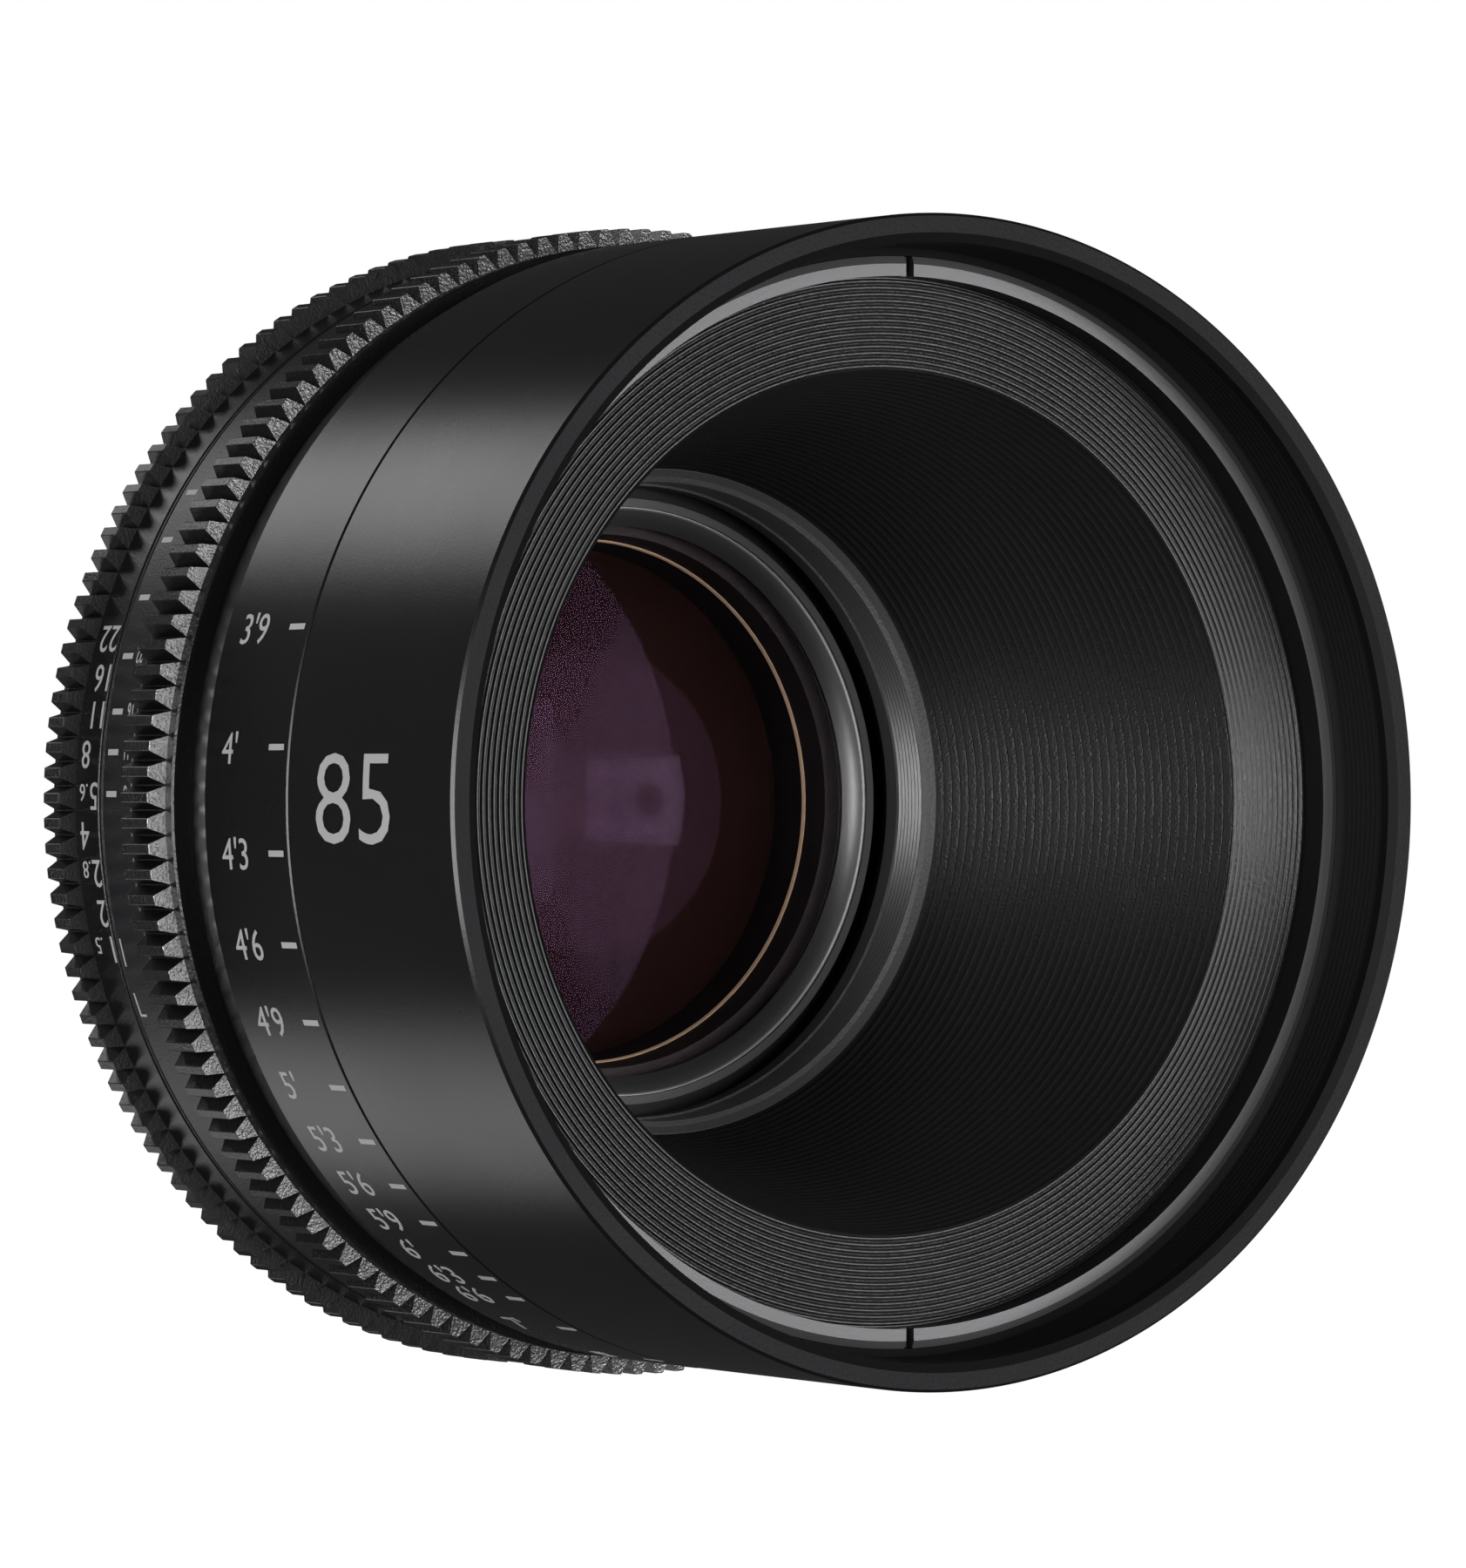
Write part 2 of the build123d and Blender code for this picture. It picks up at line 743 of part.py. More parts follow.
with BuildPart() as front_cell:
    with BuildSketch(turning):
        with BuildLine():
            Polyline(
                (cell_outer, cell_front),
                (cell_outer, cell_end),
                (lip_inner, cell_end),
                (lip_inner, cell_lip_start),
                (second_glass_radius + seat_gap, cell_lip_start),
                (second_glass_radius + seat_gap, second_bore_start),
                (front_glass_radius + seat_gap, second_bore_start),
                (front_glass_radius + seat_gap, retainer_rear + seat_gap),
                (retainer_outer + seat_gap, retainer_rear + seat_gap),
                (retainer_outer + seat_gap, cell_front),
                close=True,
            )
        make_face()
    revolve(axis=Axis.Y)

front_cell.part.label = "front_cell"
export_step(front_cell.part, "parts/front_cell.step")

# Bevelled ring that holds the front element
bevel_land = 0.2

with BuildPart() as front_retainer:
    with BuildSketch(turning):
        with BuildLine():
            Polyline(
                (bevel_inner, retainer_rear),
                (retainer_outer, retainer_rear),
                (retainer_outer, retainer_front),
                (retainer_outer - bevel_land, retainer_front),
                (bevel_inner, retainer_rear - bevel_lip),
                close=True,
            )
        make_face()
    revolve(axis=Axis.Y)

front_retainer.part.label = "front_retainer"
export_step(front_retainer.part, "parts/front_retainer.step")

# Spacer between the first and second elements
with BuildPart() as front_spacer:
    with BuildSketch(turning):
        with BuildLine():
            Polyline(
                (front_glass_radius - bevel_lip, front_rear_edge + cement_gap),
                (front_glass_radius - bevel_lip, spacer_end),
                (spacer_inner, spacer_end),
                (front_glass_radius - 2 * cell_lip, front_rear_edge + cement_gap),
                close=True,
            )
        make_face()
    revolve(axis=Axis.Y)

front_spacer.part.label = "front_spacer"
export_step(front_spacer.part, "parts/front_spacer.step")

# Glass elements, front to rear
elements = {
    "front_element": (
        front_vertex, front_thickness, front_curve, front_rear_curve, front_glass_radius, front_glass_radius
    ),
    "second_element": (
        second_vertex, second_thickness, second_curve, second_rear_curve,
        second_glass_radius, second_glass_radius,
    ),
    "third_element": (
        third_vertex, third_thickness, third_curve, third_rear_curve, third_glass_radius, third_clear_radius
    ),
    "fourth_element": (
        fourth_vertex, fourth_thickness, fourth_curve, doublet_curve, rear_glass_radius, rear_glass_radius
    ),
    "fifth_element": (
        fifth_vertex, fifth_thickness, doublet_curve, fifth_rear_curve, rear_glass_radius, rear_glass_radius
    ),
    "rear_element": (
        last_vertex, last_thickness, last_curve, last_rear_curve, last_glass_radius, last_glass_radius
    ),
}

for element_name, sizes in elements.items():
    with BuildPart() as element:
        with BuildSketch(turning):
            glass_outline(*sizes)
        revolve(axis=Axis.Y)

    element.part.label = element_name
    export_step(element.part, f"parts/{element_name}.step")

# Middle cell with the third element, seated on the step of the hub
third_edge = third_vertex + third_thickness + sag(third_rear_curve, third_clear_radius)
mid_lip = 0.6

with BuildPart() as mid_cell:
    with BuildSketch(turning):
        with BuildLine():
            Polyline(
                (third_glass_radius + seat_gap, mid_start),
                (cell_outer, mid_start),
                (cell_outer, hub_step),
                (mid_outer, hub_step),
                (mid_outer, hub_rear),
                (third_clear_radius + mid_lip, hub_rear),
                (third_clear_radius + mid_lip, third_edge + cement_gap),
                (third_glass_radius + seat_gap, third_edge + cement_gap),
                close=True,
            )
        make_face()
    revolve(axis=Axis.Y)

mid_cell.part.label = "mid_cell"
export_step(mid_cell.part, "parts/mid_cell.step")

# Iris: pins, blades on levels of their own, and the slots that drive them
blade_thickness = 0.1
blade_pitch = 0.18
blade_gap = 0.15
blade_cover = 0.4
blade_width = 6.7
blade_sweep = 95
pivot_step = 2.0
pivot_eye = 1.2
lever_length = 5.0
lever_angle = -110
lever_eye = 1.1
blade_pin_radius = 0.5
blade_pin_gap = 0.1
blade_start = stop_station - blade_gap - (blade_count - 1) * blade_pitch - blade_thickness
cam_front = hub_rear + running_gap
cam_rear = blade_start - blade_gap
blade_middle = stop_radius + blade_cover + blade_width / 2
pivot_circle = blade_middle + blade_width / 2 + pivot_step
pivot = (pivot_circle, 0)
lever = turned((pivot_circle + lever_length, 0), pivot, lever_angle)

for blade in range(blade_count):
    turn = 360 * blade / blade_count
    level = blade_start + blade * blade_pitch
    blade_plane = station(level, turn)
    with BuildPart() as iris_blade:
        with BuildSketch(blade_plane):
            arc_slot([polar(blade_middle, blade_sweep * share) for share in (0, 0.5, 1)], blade_width)
            with BuildLine():
                Polyline(pivot, lever, (blade_middle, 0), close=True)
            make_face()
            with Locations(pivot):
                Circle(pivot_eye)
            with Locations(lever):
                Circle(lever_eye)
        extrude(amount=blade_thickness)
        with BuildSketch(blade_plane):
            with Locations(pivot):
                Circle(blade_pin_radius)
        extrude(amount=stop_station + running_gap * 8 - level)
        with BuildSketch(blade_plane):
            with Locations(lever):
                Circle(blade_pin_radius)
        extrude(amount=cam_front + running_gap * 2 - level)

    iris_blade.part.label = f"iris_blade_{blade + 1:02d}"
    export_step(iris_blade.part, f"parts/iris_blade_{blade + 1:02d}.step")

# Iris cam ring: a spiral slot for each blade pin and an arm for the drive bar
cam_clear = 1.0
cam_rim = 3.7
cam_inner = stop_radius + cam_clear
cam_outer = pivot_circle + cam_rim
arm_root = cam_outer - over


def cam_point(share, turn):
    """Place of a blade's pin in the cam ring when a share of the closing turn is done."""
    moved = turned(lever, pivot, blade_swing * share)
    return turned(moved, (0, 0), iris_angle * share + turn)


with BuildPart() as iris_cam_ring:
    with BuildSketch(station(cam_front)):
        Circle(cam_outer)
        sector(arm_root, bar_outer, iris_bar_angle - bar_half + slot_margin, 2 * (bar_half - slot_margin))
        Circle(cam_inner, mode=Mode.SUBTRACT)
        for blade in range(blade_count):
            turn = 360 * blade / blade_count
            arc_slot(
                [cam_point(share, turn) for share in (0, 0.5, 1)],
                2 * (blade_pin_radius + blade_pin_gap),
                Mode.SUBTRACT,
            )
    extrude(amount=cam_rear - cam_front)

iris_cam_ring.part.label = "iris_cam_ring"
export_step(iris_cam_ring.part, "parts/iris_cam_ring.step")

# Drive bar on the cam ring: a fork along the axis that the iris pin slides in
bar_end_gap = 1.6
bar_front = pin_station - focus_back - bar_end_gap

with BuildPart() as iris_drive_bar:
    with BuildSketch(station(bar_front)):
        sector(bar_inner, bar_outer, iris_bar_angle - bar_half + slot_margin, 2 * (bar_half - slot_margin))
    extrude(amount=cam_front - bar_front)
    with BuildSketch(spoke(bar_front, iris_bar_angle, bar_inner - over)):
        Rectangle(
            2 * (window_end - bar_front),
            2 * (iris_pin_radius + running_gap),
        )
    extrude(amount=bar_outer - bar_inner + 2 * over, mode=Mode.SUBTRACT)

iris_drive_bar.part.label = "iris_drive_bar"
export_step(iris_drive_bar.part, "parts/iris_drive_bar.step")

# Iris pin: fixed in the iris gear ring, through the main barrel and the carrier
iris_pin_seat = 4.0
iris_pin_end_gap = 1.0
iris_pin_inner = bar_inner + iris_pin_end_gap
iris_pin_outer = main_outer + iris_pin_seat

with BuildPart() as iris_drive_pin:
    with BuildSketch(spoke(pin_station, iris_bar_angle, iris_pin_inner)):
        Circle(iris_pin_radius)
    extrude(amount=iris_pin_outer - iris_pin_inner)

iris_drive_pin.part.label = "iris_drive_pin"
export_step(iris_drive_pin.part, "parts/iris_drive_pin.step")

# Iris housing: plate with the stop and the pivot holes, and a wall with a window for the arm
housing_wall = 1.2
housing_plate = 1.0
housing_inner = cam_outer + running_gap
housing_outer = housing_inner + housing_wall
housing_end = stop_station + housing_plate

with BuildPart() as iris_housing:
    with BuildSketch(turning):
        with BuildLine():
            Polyline(
                (housing_inner, hub_rear),
                (housing_outer, hub_rear),
                (housing_outer, housing_end),
                (stop_radius, housing_end),
                (stop_radius, stop_station),
                (housing_inner, stop_station),
                close=True,
            )
        make_face()
    revolve(axis=Axis.Y)
    with BuildSketch(station(stop_station)):
        with PolarLocations(pivot_circle, blade_count):
            Circle(blade_pin_radius + blade_pin_gap)
    extrude(amount=housing_plate, mode=Mode.SUBTRACT)
    with BuildSketch(station(hub_rear)):
        sector(
            housing_inner - slot_gap,
            housing_outer + over,
            iris_bar_angle - iris_angle - bar_half,
            iris_angle + 2 * bar_half,
        )
    extrude(amount=cam_rear + running_gap - hub_rear, mode=Mode.SUBTRACT)

iris_housing.part.label = "iris_housing"
export_step(iris_housing.part, "parts/iris_housing.step")

# Rear cell with the doublet and the rear element
rear_lip = 1.3
rear_flange_width = 3.0
rear_flange_length = 1.5
rear_cell_wall = 3.5
rear_ring_length = 1.5
rear_spacer_wall = 2.2
rear_ring_wall = 1.8
rear_cell_radius = last_glass_radius + rear_cell_wall
rear_flange_radius = rear_cell_radius + rear_flange_width
rear_spacer_inner = last_glass_radius - rear_spacer_wall
rear_ring_inner = last_glass_radius - rear_ring_wall
fourth_edge = fourth_vertex + sag(fourth_curve, rear_glass_radius)
fifth_back = fifth_vertex + fifth_thickness
fifth_edge = fifth_back + sag(fifth_rear_curve, rear_glass_radius)
last_back = last_vertex + last_thickness
rear_spacer_start = fifth_back + sag(fifth_rear_curve, rear_spacer_inner) + cement_gap
rear_spacer_end = last_vertex + sag(last_curve, rear_spacer_inner) - cement_gap
rear_ring_start = last_back + sag(last_rear_curve, rear_ring_inner) + cement_gap
rear_cell_end = rear_ring_start + rear_ring_length

with BuildPart() as rear_cell:
    with BuildSketch(turning):
        with BuildLine():
            Polyline(
                (rear_glass_radius - rear_lip, housing_end),
                (rear_flange_radius, housing_end),
                (rear_flange_radius, housing_end + rear_flange_length),
                (rear_cell_radius, housing_end + rear_flange_length),
                (rear_cell_radius, rear_cell_end),
                (last_glass_radius + seat_gap, rear_cell_end),
                (last_glass_radius + seat_gap, fifth_edge + seat_gap),
                (rear_glass_radius + seat_gap, fifth_edge + seat_gap),
                (rear_glass_radius + seat_gap, fourth_edge - cement_gap),
                (rear_glass_radius - rear_lip, fourth_edge - cement_gap),
                close=True,
            )
        make_face()
    revolve(axis=Axis.Y)

rear_cell.part.label = "rear_cell"
export_step(rear_cell.part, "parts/rear_cell.step")

with BuildPart() as rear_spacer:
    with BuildSketch(station(rear_spacer_start)):
        Circle(last_glass_radius)
        Circle(rear_spacer_inner, mode=Mode.SUBTRACT)
    extrude(amount=rear_spacer_end - rear_spacer_start)

rear_spacer.part.label = "rear_spacer"
export_step(rear_spacer.part, "parts/rear_spacer.step")

with BuildPart() as rear_retainer:
    with BuildSketch(station(rear_ring_start)):
        Circle(last_glass_radius)
        Circle(rear_ring_inner, mode=Mode.SUBTRACT)
    extrude(amount=rear_ring_length)

rear_retainer.part.label = "rear_retainer"
export_step(rear_retainer.part, "parts/rear_retainer.step")

# Index barrel: fixed between the two rings
index_web = 3.0
index_hollow = barrel_radius - ring_wall

with BuildPart() as index_barrel:
    with BuildSketch(turning):
        with BuildLine():
            Polyline(
                (fixed_bore, index_start),
                (barrel_radius, index_start),
                (barrel_radius, index_end),
                (index_hollow, index_end),
                (index_hollow, index_start + index_web),
                (fixed_bore, index_start + index_web),
                close=True,
            )
        make_face()
    revolve(axis=Axis.Y)

index_barrel.part.label = "index_barrel"
export_step(index_barrel.part, "parts/index_barrel.step")

# Iris scale ring, with the spigot of the gear ring inside it
iris_land = 3.1
iris_wall = 4.0
iris_hollow = barrel_radius - iris_wall

with BuildPart() as iris_scale_ring:
    with BuildSketch(turning):
        with BuildLine():
            Polyline(
                (ring_bore, iris_scale_start),
                (barrel_radius, iris_scale_start),
                (barrel_radius, iris_gear_start),
                (iris_hollow, iris_gear_start),
                (iris_hollow, iris_scale_start + iris_land),
                (ring_bore, iris_scale_start + iris_land),
                close=True,
            )
        make_face()
    revolve(axis=Axis.Y)

iris_scale_ring.part.label = "iris_scale_ring"
export_step(iris_scale_ring.part, "parts/iris_scale_ring.step")

# Iris gear ring: square front, long rear bevel and a hole for the iris pin
iris_first_tooth = 0.39
iris_bevel_front = 0.3
iris_bevel_rear = 0.9

with BuildPart() as iris_gear_ring:
    with BuildSketch(station(iris_gear_start)):
        gear_outline(iris_first_tooth)
        Circle(ring_bore, mode=Mode.SUBTRACT)
    extrude(amount=iris_gear_width)
    with BuildSketch(turning):
        with BuildLine():
            Polyline(
                (ring_bore - over, iris_gear_start),
                (gear_tip_radius - iris_bevel_front, iris_gear_start),
                (gear_tip_radius + over, iris_gear_start + iris_bevel_front + over),
                (gear_tip_radius + gear_height, iris_gear_end - 2 * iris_bevel_rear),
                (gear_root_radius, iris_gear_end),
                (ring_bore - over, iris_gear_end),
                close=True,
            )
        make_face()
    revolve(axis=Axis.Y, mode=Mode.INTERSECT)
    with BuildSketch(station(iris_scale_start + iris_land)):
        Circle(iris_hollow - seat_gap)
        Circle(ring_bore, mode=Mode.SUBTRACT)
    extrude(amount=iris_gear_start - iris_scale_start - iris_land)
    with BuildSketch(spoke(pin_station, iris_bar_angle, main_outer)):
        Circle(iris_pin_radius + seat_gap)
    extrude(amount=iris_pin_outer + seat_gap - main_outer, mode=Mode.SUBTRACT)

iris_gear_ring.part.label = "iris_gear_ring"
export_step(iris_gear_ring.part, "parts/iris_gear_ring.step")

# Rear barrel: taper from the iris ring to the mount, seated on the main barrel
rear_drop = 2.0
rear_wall = 2.4
rear_straight = 3.6
rear_front_depth = 4.0
rear_cavity_play = 2.1
rear_end_wall = 1.5
rear_web_thickness = 2.0
mount_base_margin = 2.9
mount_screw_share = 0.3
mount_head_share = 0.44
mount_screw_count = 4
mount_screw_depth = 1.6
mount_head_height = 1.0
rear_front_radius = barrel_radius - rear_drop
rear_front_bore = rear_front_radius - rear_wall
rear_cavity_radius = carrier_outer + rear_cavity_play
rear_end_radius = rear_cavity_radius + rear_end_wall
rear_web_bore = carrier_inner + slot_gap
mount_base_radius = rear_end_radius - mount_base_margin
mount_screw_circle = (rear_web_bore + mount_base_radius) / 2
mount_screw_radius = mount_screw_share * (mount_base_radius - rear_web_bore)
mount_head_radius = mount_head_share * (mount_base_radius - rear_web_bore)

with BuildPart() as rear_barrel:
    with BuildSketch(turning):
        with BuildLine():
            Polyline(
                (rear_front_radius, rear_barrel_start),
                (rear_front_radius, rear_barrel_start + rear_straight),
                (rear_end_radius, rear_barrel_end),
                (rear_web_bore, rear_barrel_end),
                (rear_web_bore, rear_barrel_end - rear_web_thickness),
                (rear_cavity_radius, rear_barrel_end - rear_web_thickness),
                (rear_cavity_radius, main_rear),
                (fixed_bore, main_rear),
                (fixed_bore, rear_barrel_start + rear_front_depth),
                (rear_front_bore, rear_barrel_start + rear_front_depth),
                (rear_front_bore, rear_barrel_start),
                close=True,
            )
        make_face()
    revolve(axis=Axis.Y)
    with BuildSketch(station(rear_barrel_end)):
        with PolarLocations(mount_screw_circle, mount_screw_count, 45):
            Circle(mount_screw_radius + seat_gap)
    extrude(amount=-mount_screw_depth, mode=Mode.SUBTRACT)

rear_barrel.part.label = "rear_barrel"
export_step(rear_barrel.part, "parts/rear_barrel.step")

# Shim that sets the distance from the glass to the mount face
with BuildPart() as mount_shim:
    with BuildSketch(station(rear_barrel_end)):
        Circle(mount_base_radius)
        Circle(rear_web_bore, mode=Mode.SUBTRACT)
        with PolarLocations(mount_screw_circle, mount_screw_count, 45):
            Circle(mount_screw_radius + seat_gap, mode=Mode.SUBTRACT)
    extrude(amount=shim_thickness)

mount_shim.part.label = "mount_shim"
export_step(mount_shim.part, "parts/mount_shim.step")

# Lens mount: screwed base, flange with four lugs, and the pilot tube
mount_play = 0.4
mount_flange_width = 1.5
lug_width = 3.5
lug_thickness = 1.8
lug_count = 4
lug_angle = 50
lug_notch_width = 3.0
lug_notch_depth = 1.5
pilot_length = 20.0
pilot_wall = 2.0
pilot_play = 0.5
pilot_chamfer = 0.5
mount_floor = 1.6
mount_bore = housing_outer + mount_play
mount_flange_radius = mount_bore + mount_flange_width
lug_radius = mount_flange_radius + lug_width
pilot_radius = rear_flange_radius + pilot_play + pilot_wall
lug_start = mount_face - lug_thickness
pilot_end = mount_face + pilot_length

with BuildPart() as lens_mount:
    with BuildSketch(turning):
        with BuildLine():
            Polyline(
                (mount_bore, mount_base_start),
                (mount_base_radius, mount_base_start),
                (mount_base_radius, lug_start),
                (mount_flange_radius, lug_start),
                (mount_flange_radius, mount_face),
                (pilot_radius, mount_face),
                (pilot_radius, pilot_end - pilot_chamfer),
                (pilot_radius - pilot_chamfer, pilot_end),
                (pilot_radius - pilot_wall, pilot_end),
                (pilot_radius - pilot_wall, mount_face - mount_floor),
                (mount_bore, mount_face - mount_floor),
                close=True,
            )
        make_face()
    revolve(axis=Axis.Y)
    with BuildSketch(station(lug_start)):
        for lug in range(lug_count):
            sector(mount_flange_radius - over, lug_radius, 360 * lug / lug_count - lug_angle / 2, lug_angle)
        with Locations((0, lug_radius)):
            Rectangle(lug_notch_width, 2 * lug_notch_depth, mode=Mode.SUBTRACT)
    extrude(amount=lug_thickness)
    with BuildSketch(station(mount_base_start)):
        with PolarLocations(mount_screw_circle, mount_screw_count, 45):
            Circle(mount_screw_radius + seat_gap)
    extrude(amount=lug_start - mount_base_start, mode=Mode.SUBTRACT)
    with BuildSketch(station(lug_start)):
        with PolarLocations(mount_screw_circle, mount_screw_count, 45):
            Circle(mount_head_radius + seat_gap)
    extrude(amount=-mount_head_height, mode=Mode.SUBTRACT)

lens_mount.part.label = "lens_mount"
export_step(lens_mount.part, "parts/lens_mount.step")

# Screws that hold the mount, through the shim and into the rear barrel
with BuildPart() as mount_screws:
    with BuildSketch(station(lug_start)):
        with PolarLocations(mount_screw_circle, mount_screw_count, 45):
            Circle(mount_head_radius)
    extrude(amount=-mount_head_height)
    with BuildSketch(station(lug_start - mount_head_height)):
        with PolarLocations(mount_screw_circle, mount_screw_count, 45):
            Circle(mount_screw_radius)
    extrude(amount=-(lug_start - mount_head_height - rear_barrel_end + mount_screw_depth))

mount_screws.part.label = "mount_screws"
export_step(mount_screws.part, "parts/mount_screws.step")
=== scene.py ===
import json
import math

import bmesh
import bpy
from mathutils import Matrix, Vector


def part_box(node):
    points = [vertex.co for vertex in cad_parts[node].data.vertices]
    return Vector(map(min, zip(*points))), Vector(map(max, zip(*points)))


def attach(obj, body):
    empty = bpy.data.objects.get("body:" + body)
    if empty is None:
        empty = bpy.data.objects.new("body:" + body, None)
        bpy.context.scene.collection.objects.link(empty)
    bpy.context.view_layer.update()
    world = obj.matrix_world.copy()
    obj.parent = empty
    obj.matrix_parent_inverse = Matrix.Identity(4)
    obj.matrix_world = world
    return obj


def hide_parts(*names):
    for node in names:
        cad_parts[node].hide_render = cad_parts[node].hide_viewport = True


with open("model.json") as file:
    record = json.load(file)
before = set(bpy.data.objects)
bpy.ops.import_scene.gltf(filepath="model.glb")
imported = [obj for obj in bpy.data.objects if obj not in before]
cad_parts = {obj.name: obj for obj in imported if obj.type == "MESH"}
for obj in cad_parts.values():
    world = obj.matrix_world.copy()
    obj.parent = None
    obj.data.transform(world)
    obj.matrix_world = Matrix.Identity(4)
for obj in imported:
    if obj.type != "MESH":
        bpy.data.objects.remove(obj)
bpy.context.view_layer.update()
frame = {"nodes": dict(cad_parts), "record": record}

# Front barrel: a plain turned aluminium tube, anodised satin black, with a cut filter thread.
# It is the first piece, so the turning, the grain and the finishes start here. Radii and
# stations (the distance behind the front rim) are in mm, and angles are counted up from -X.
mm = 0.001
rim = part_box("front_barrel")[0].y
barrel_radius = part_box("front_barrel")[1].x / mm
front_end = (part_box("front_barrel")[1].y - rim) / mm
main_outer = 49.05
thread_radius = barrel_radius - 3.0
clamp_bore = thread_radius - 0.7
hood_bore = barrel_radius - 5.0
thread_start = 1.3
thread_end = 7.3
thread_depth = 0.5
thread_pitch = 0.75
edge_break = 0.15


def place(radius, angle, station):
    """Point on the lens at a radius in mm, an angle in degrees and a station in mm."""
    side = math.radians(angle)
    return Vector((-radius * mm * math.cos(side), rim + station * mm, radius * mm * math.sin(side)))


def finish_mesh(name, build, node, crease):
    """Object from a bmesh: smooth, with sharp edges above the crease angle, riding its node's body."""
    mesh = bpy.data.meshes.new(name)
    build.to_mesh(mesh)
    build.free()
    mesh.shade_smooth()
    mesh.set_sharp_from_angle(angle=math.radians(crease))
    piece = bpy.data.objects.new(name, mesh)
    bpy.context.scene.collection.objects.link(piece)
    bodies = frame["record"]["behaviour"]["bodies"]
    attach(piece, next(body for body, members in bodies.items() if node in members))
    return piece


def turned(name, node, outline, steps=360, crease=20):
    """Ring turned about the lens axis from a closed outline of (radius, station) points."""
    build = bmesh.new()
    corners = [build.verts.new(place(radius, 0, station)) for radius, station in outline]
    edges = [build.edges.new((a, b)) for a, b in zip(corners, corners[1:] + corners[:1])]
    bmesh.ops.spin(
        build, geom=corners + edges, cent=(0, 0, 0), axis=(0, 1, 0), angle=2 * math.pi, steps=steps,
        use_merge=True,
    )
    bmesh.ops.remove_doubles(build, verts=build.verts, dist=1e-7)
    bmesh.ops.recalc_face_normals(build, faces=build.faces)
    return finish_mesh(name, build, node, crease)


# The grain of blasted and anodised metal: fine bumps, and a slow tone that shifts shine and colour.
# Every finish of the lens shares it, with its own scale and strength.
grain = bpy.data.node_groups.new("metal_grain", "ShaderNodeTree")
for socket in ("Scale", "Strength"):
    grain.interface.new_socket(socket, in_out="INPUT", socket_type="NodeSocketFloat")
grain.interface.new_socket("Tone", in_out="OUTPUT", socket_type="NodeSocketFloat")
grain.interface.new_socket("Normal", in_out="OUTPUT", socket_type="NodeSocketVector")
inlet = grain.nodes.new("NodeGroupInput")
outlet = grain.nodes.new("NodeGroupOutput")
coordinates = grain.nodes.new("ShaderNodeTexCoord")
speck = grain.nodes.new("ShaderNodeTexNoise")
speck.inputs["Detail"].default_value = 2
cloud = grain.nodes.new("ShaderNodeTexNoise")
cloud.inputs["Scale"].default_value = 60
cloud.inputs["Detail"].default_value = 4
bump = grain.nodes.new("ShaderNodeBump")
bump.inputs["Distance"].default_value = 0.0001
grain.links.new(coordinates.outputs["Object"], speck.inputs["Vector"])
grain.links.new(coordinates.outputs["Object"], cloud.inputs["Vector"])
grain.links.new(inlet.outputs["Scale"], speck.inputs["Scale"])
grain.links.new(inlet.outputs["Strength"], bump.inputs["Strength"])
grain.links.new(speck.outputs["Fac"], bump.inputs["Height"])
grain.links.new(cloud.outputs["Fac"], outlet.inputs["Tone"])
grain.links.new(bump.outputs["Normal"], outlet.inputs["Normal"])


def metal(name, colour, roughness, strength=0.1, scale=4000, metallic=0.0, specular=0.5):
    """Anodised, painted or bare metal whose colour and shine shift a little with the shared grain."""
    material = bpy.data.materials.new(name)
    material.use_nodes = True
    nodes = material.node_tree.nodes
    links = material.node_tree.links
    shader = nodes["Principled BSDF"]
    shader.inputs["Metallic"].default_value = metallic
    shader.inputs["Specular IOR Level"].default_value = specular
    texture = nodes.new("ShaderNodeGroup")
    texture.node_tree = grain
    texture.inputs["Scale"].default_value = scale
    texture.inputs["Strength"].default_value = strength
    shine = nodes.new("ShaderNodeMapRange")
    shine.inputs["To Min"].default_value = roughness * 0.9
    shine.inputs["To Max"].default_value = roughness * 1.1
    tint = nodes.new("ShaderNodeMix")
    tint.data_type = "RGBA"
    tint.inputs["A"].default_value = (*(0.85 * channel for channel in colour), 1)
    tint.inputs["B"].default_value = (*(1.15 * channel for channel in colour), 1)
    links.new(texture.outputs["Tone"], shine.inputs["Value"])
    links.new(texture.outputs["Tone"], tint.inputs["Factor"])
    links.new(texture.outputs["Normal"], shader.inputs["Normal"])
    links.new(shine.outputs["Result"], shader.inputs["Roughness"])
    links.new(tint.outputs["Result"], shader.inputs["Base Color"])
    return material


def paint(piece, *materials):
    """Give a piece its materials, the first one to every face."""
    piece.data.materials.clear()
    for material in materials:
        piece.data.materials.append(material)


black = metal("black_anodised", (0.005, 0.005, 0.006), 0.28)
rim_black = metal("speckled_rim", (0.012, 0.012, 0.014), 0.6, strength=1.0, scale=2600, specular=0.25)
thread_black = metal("thread_black", (0.004, 0.004, 0.004), 0.5, specular=0.2)
outline = [(barrel_radius, 0.3), (barrel_radius, front_end - edge_break)]
outline += [(barrel_radius - edge_break, front_end), (main_outer, front_end), (main_outer, 26.0)]
outline += [(hood_bore, 26.0), (hood_bore, 12.2), (clamp_bore, 12.2)]
outline += [(clamp_bore, 7.6), (thread_radius, thread_end)]
for turn in range(8):
    bottom = thread_end - turn * thread_pitch
    outline += [(thread_radius, bottom - 0.05), (thread_radius + thread_depth, bottom - thread_pitch / 2)]
outline += [(thread_radius, thread_start), (thread_radius + 0.2, 0.45), (thread_radius + 1.1, 0.0)]
outline += [(barrel_radius - 0.3, 0.0)]
front = turned("front_barrel_skin", "front_barrel", outline)
paint(front, black, rim_black, thread_black)
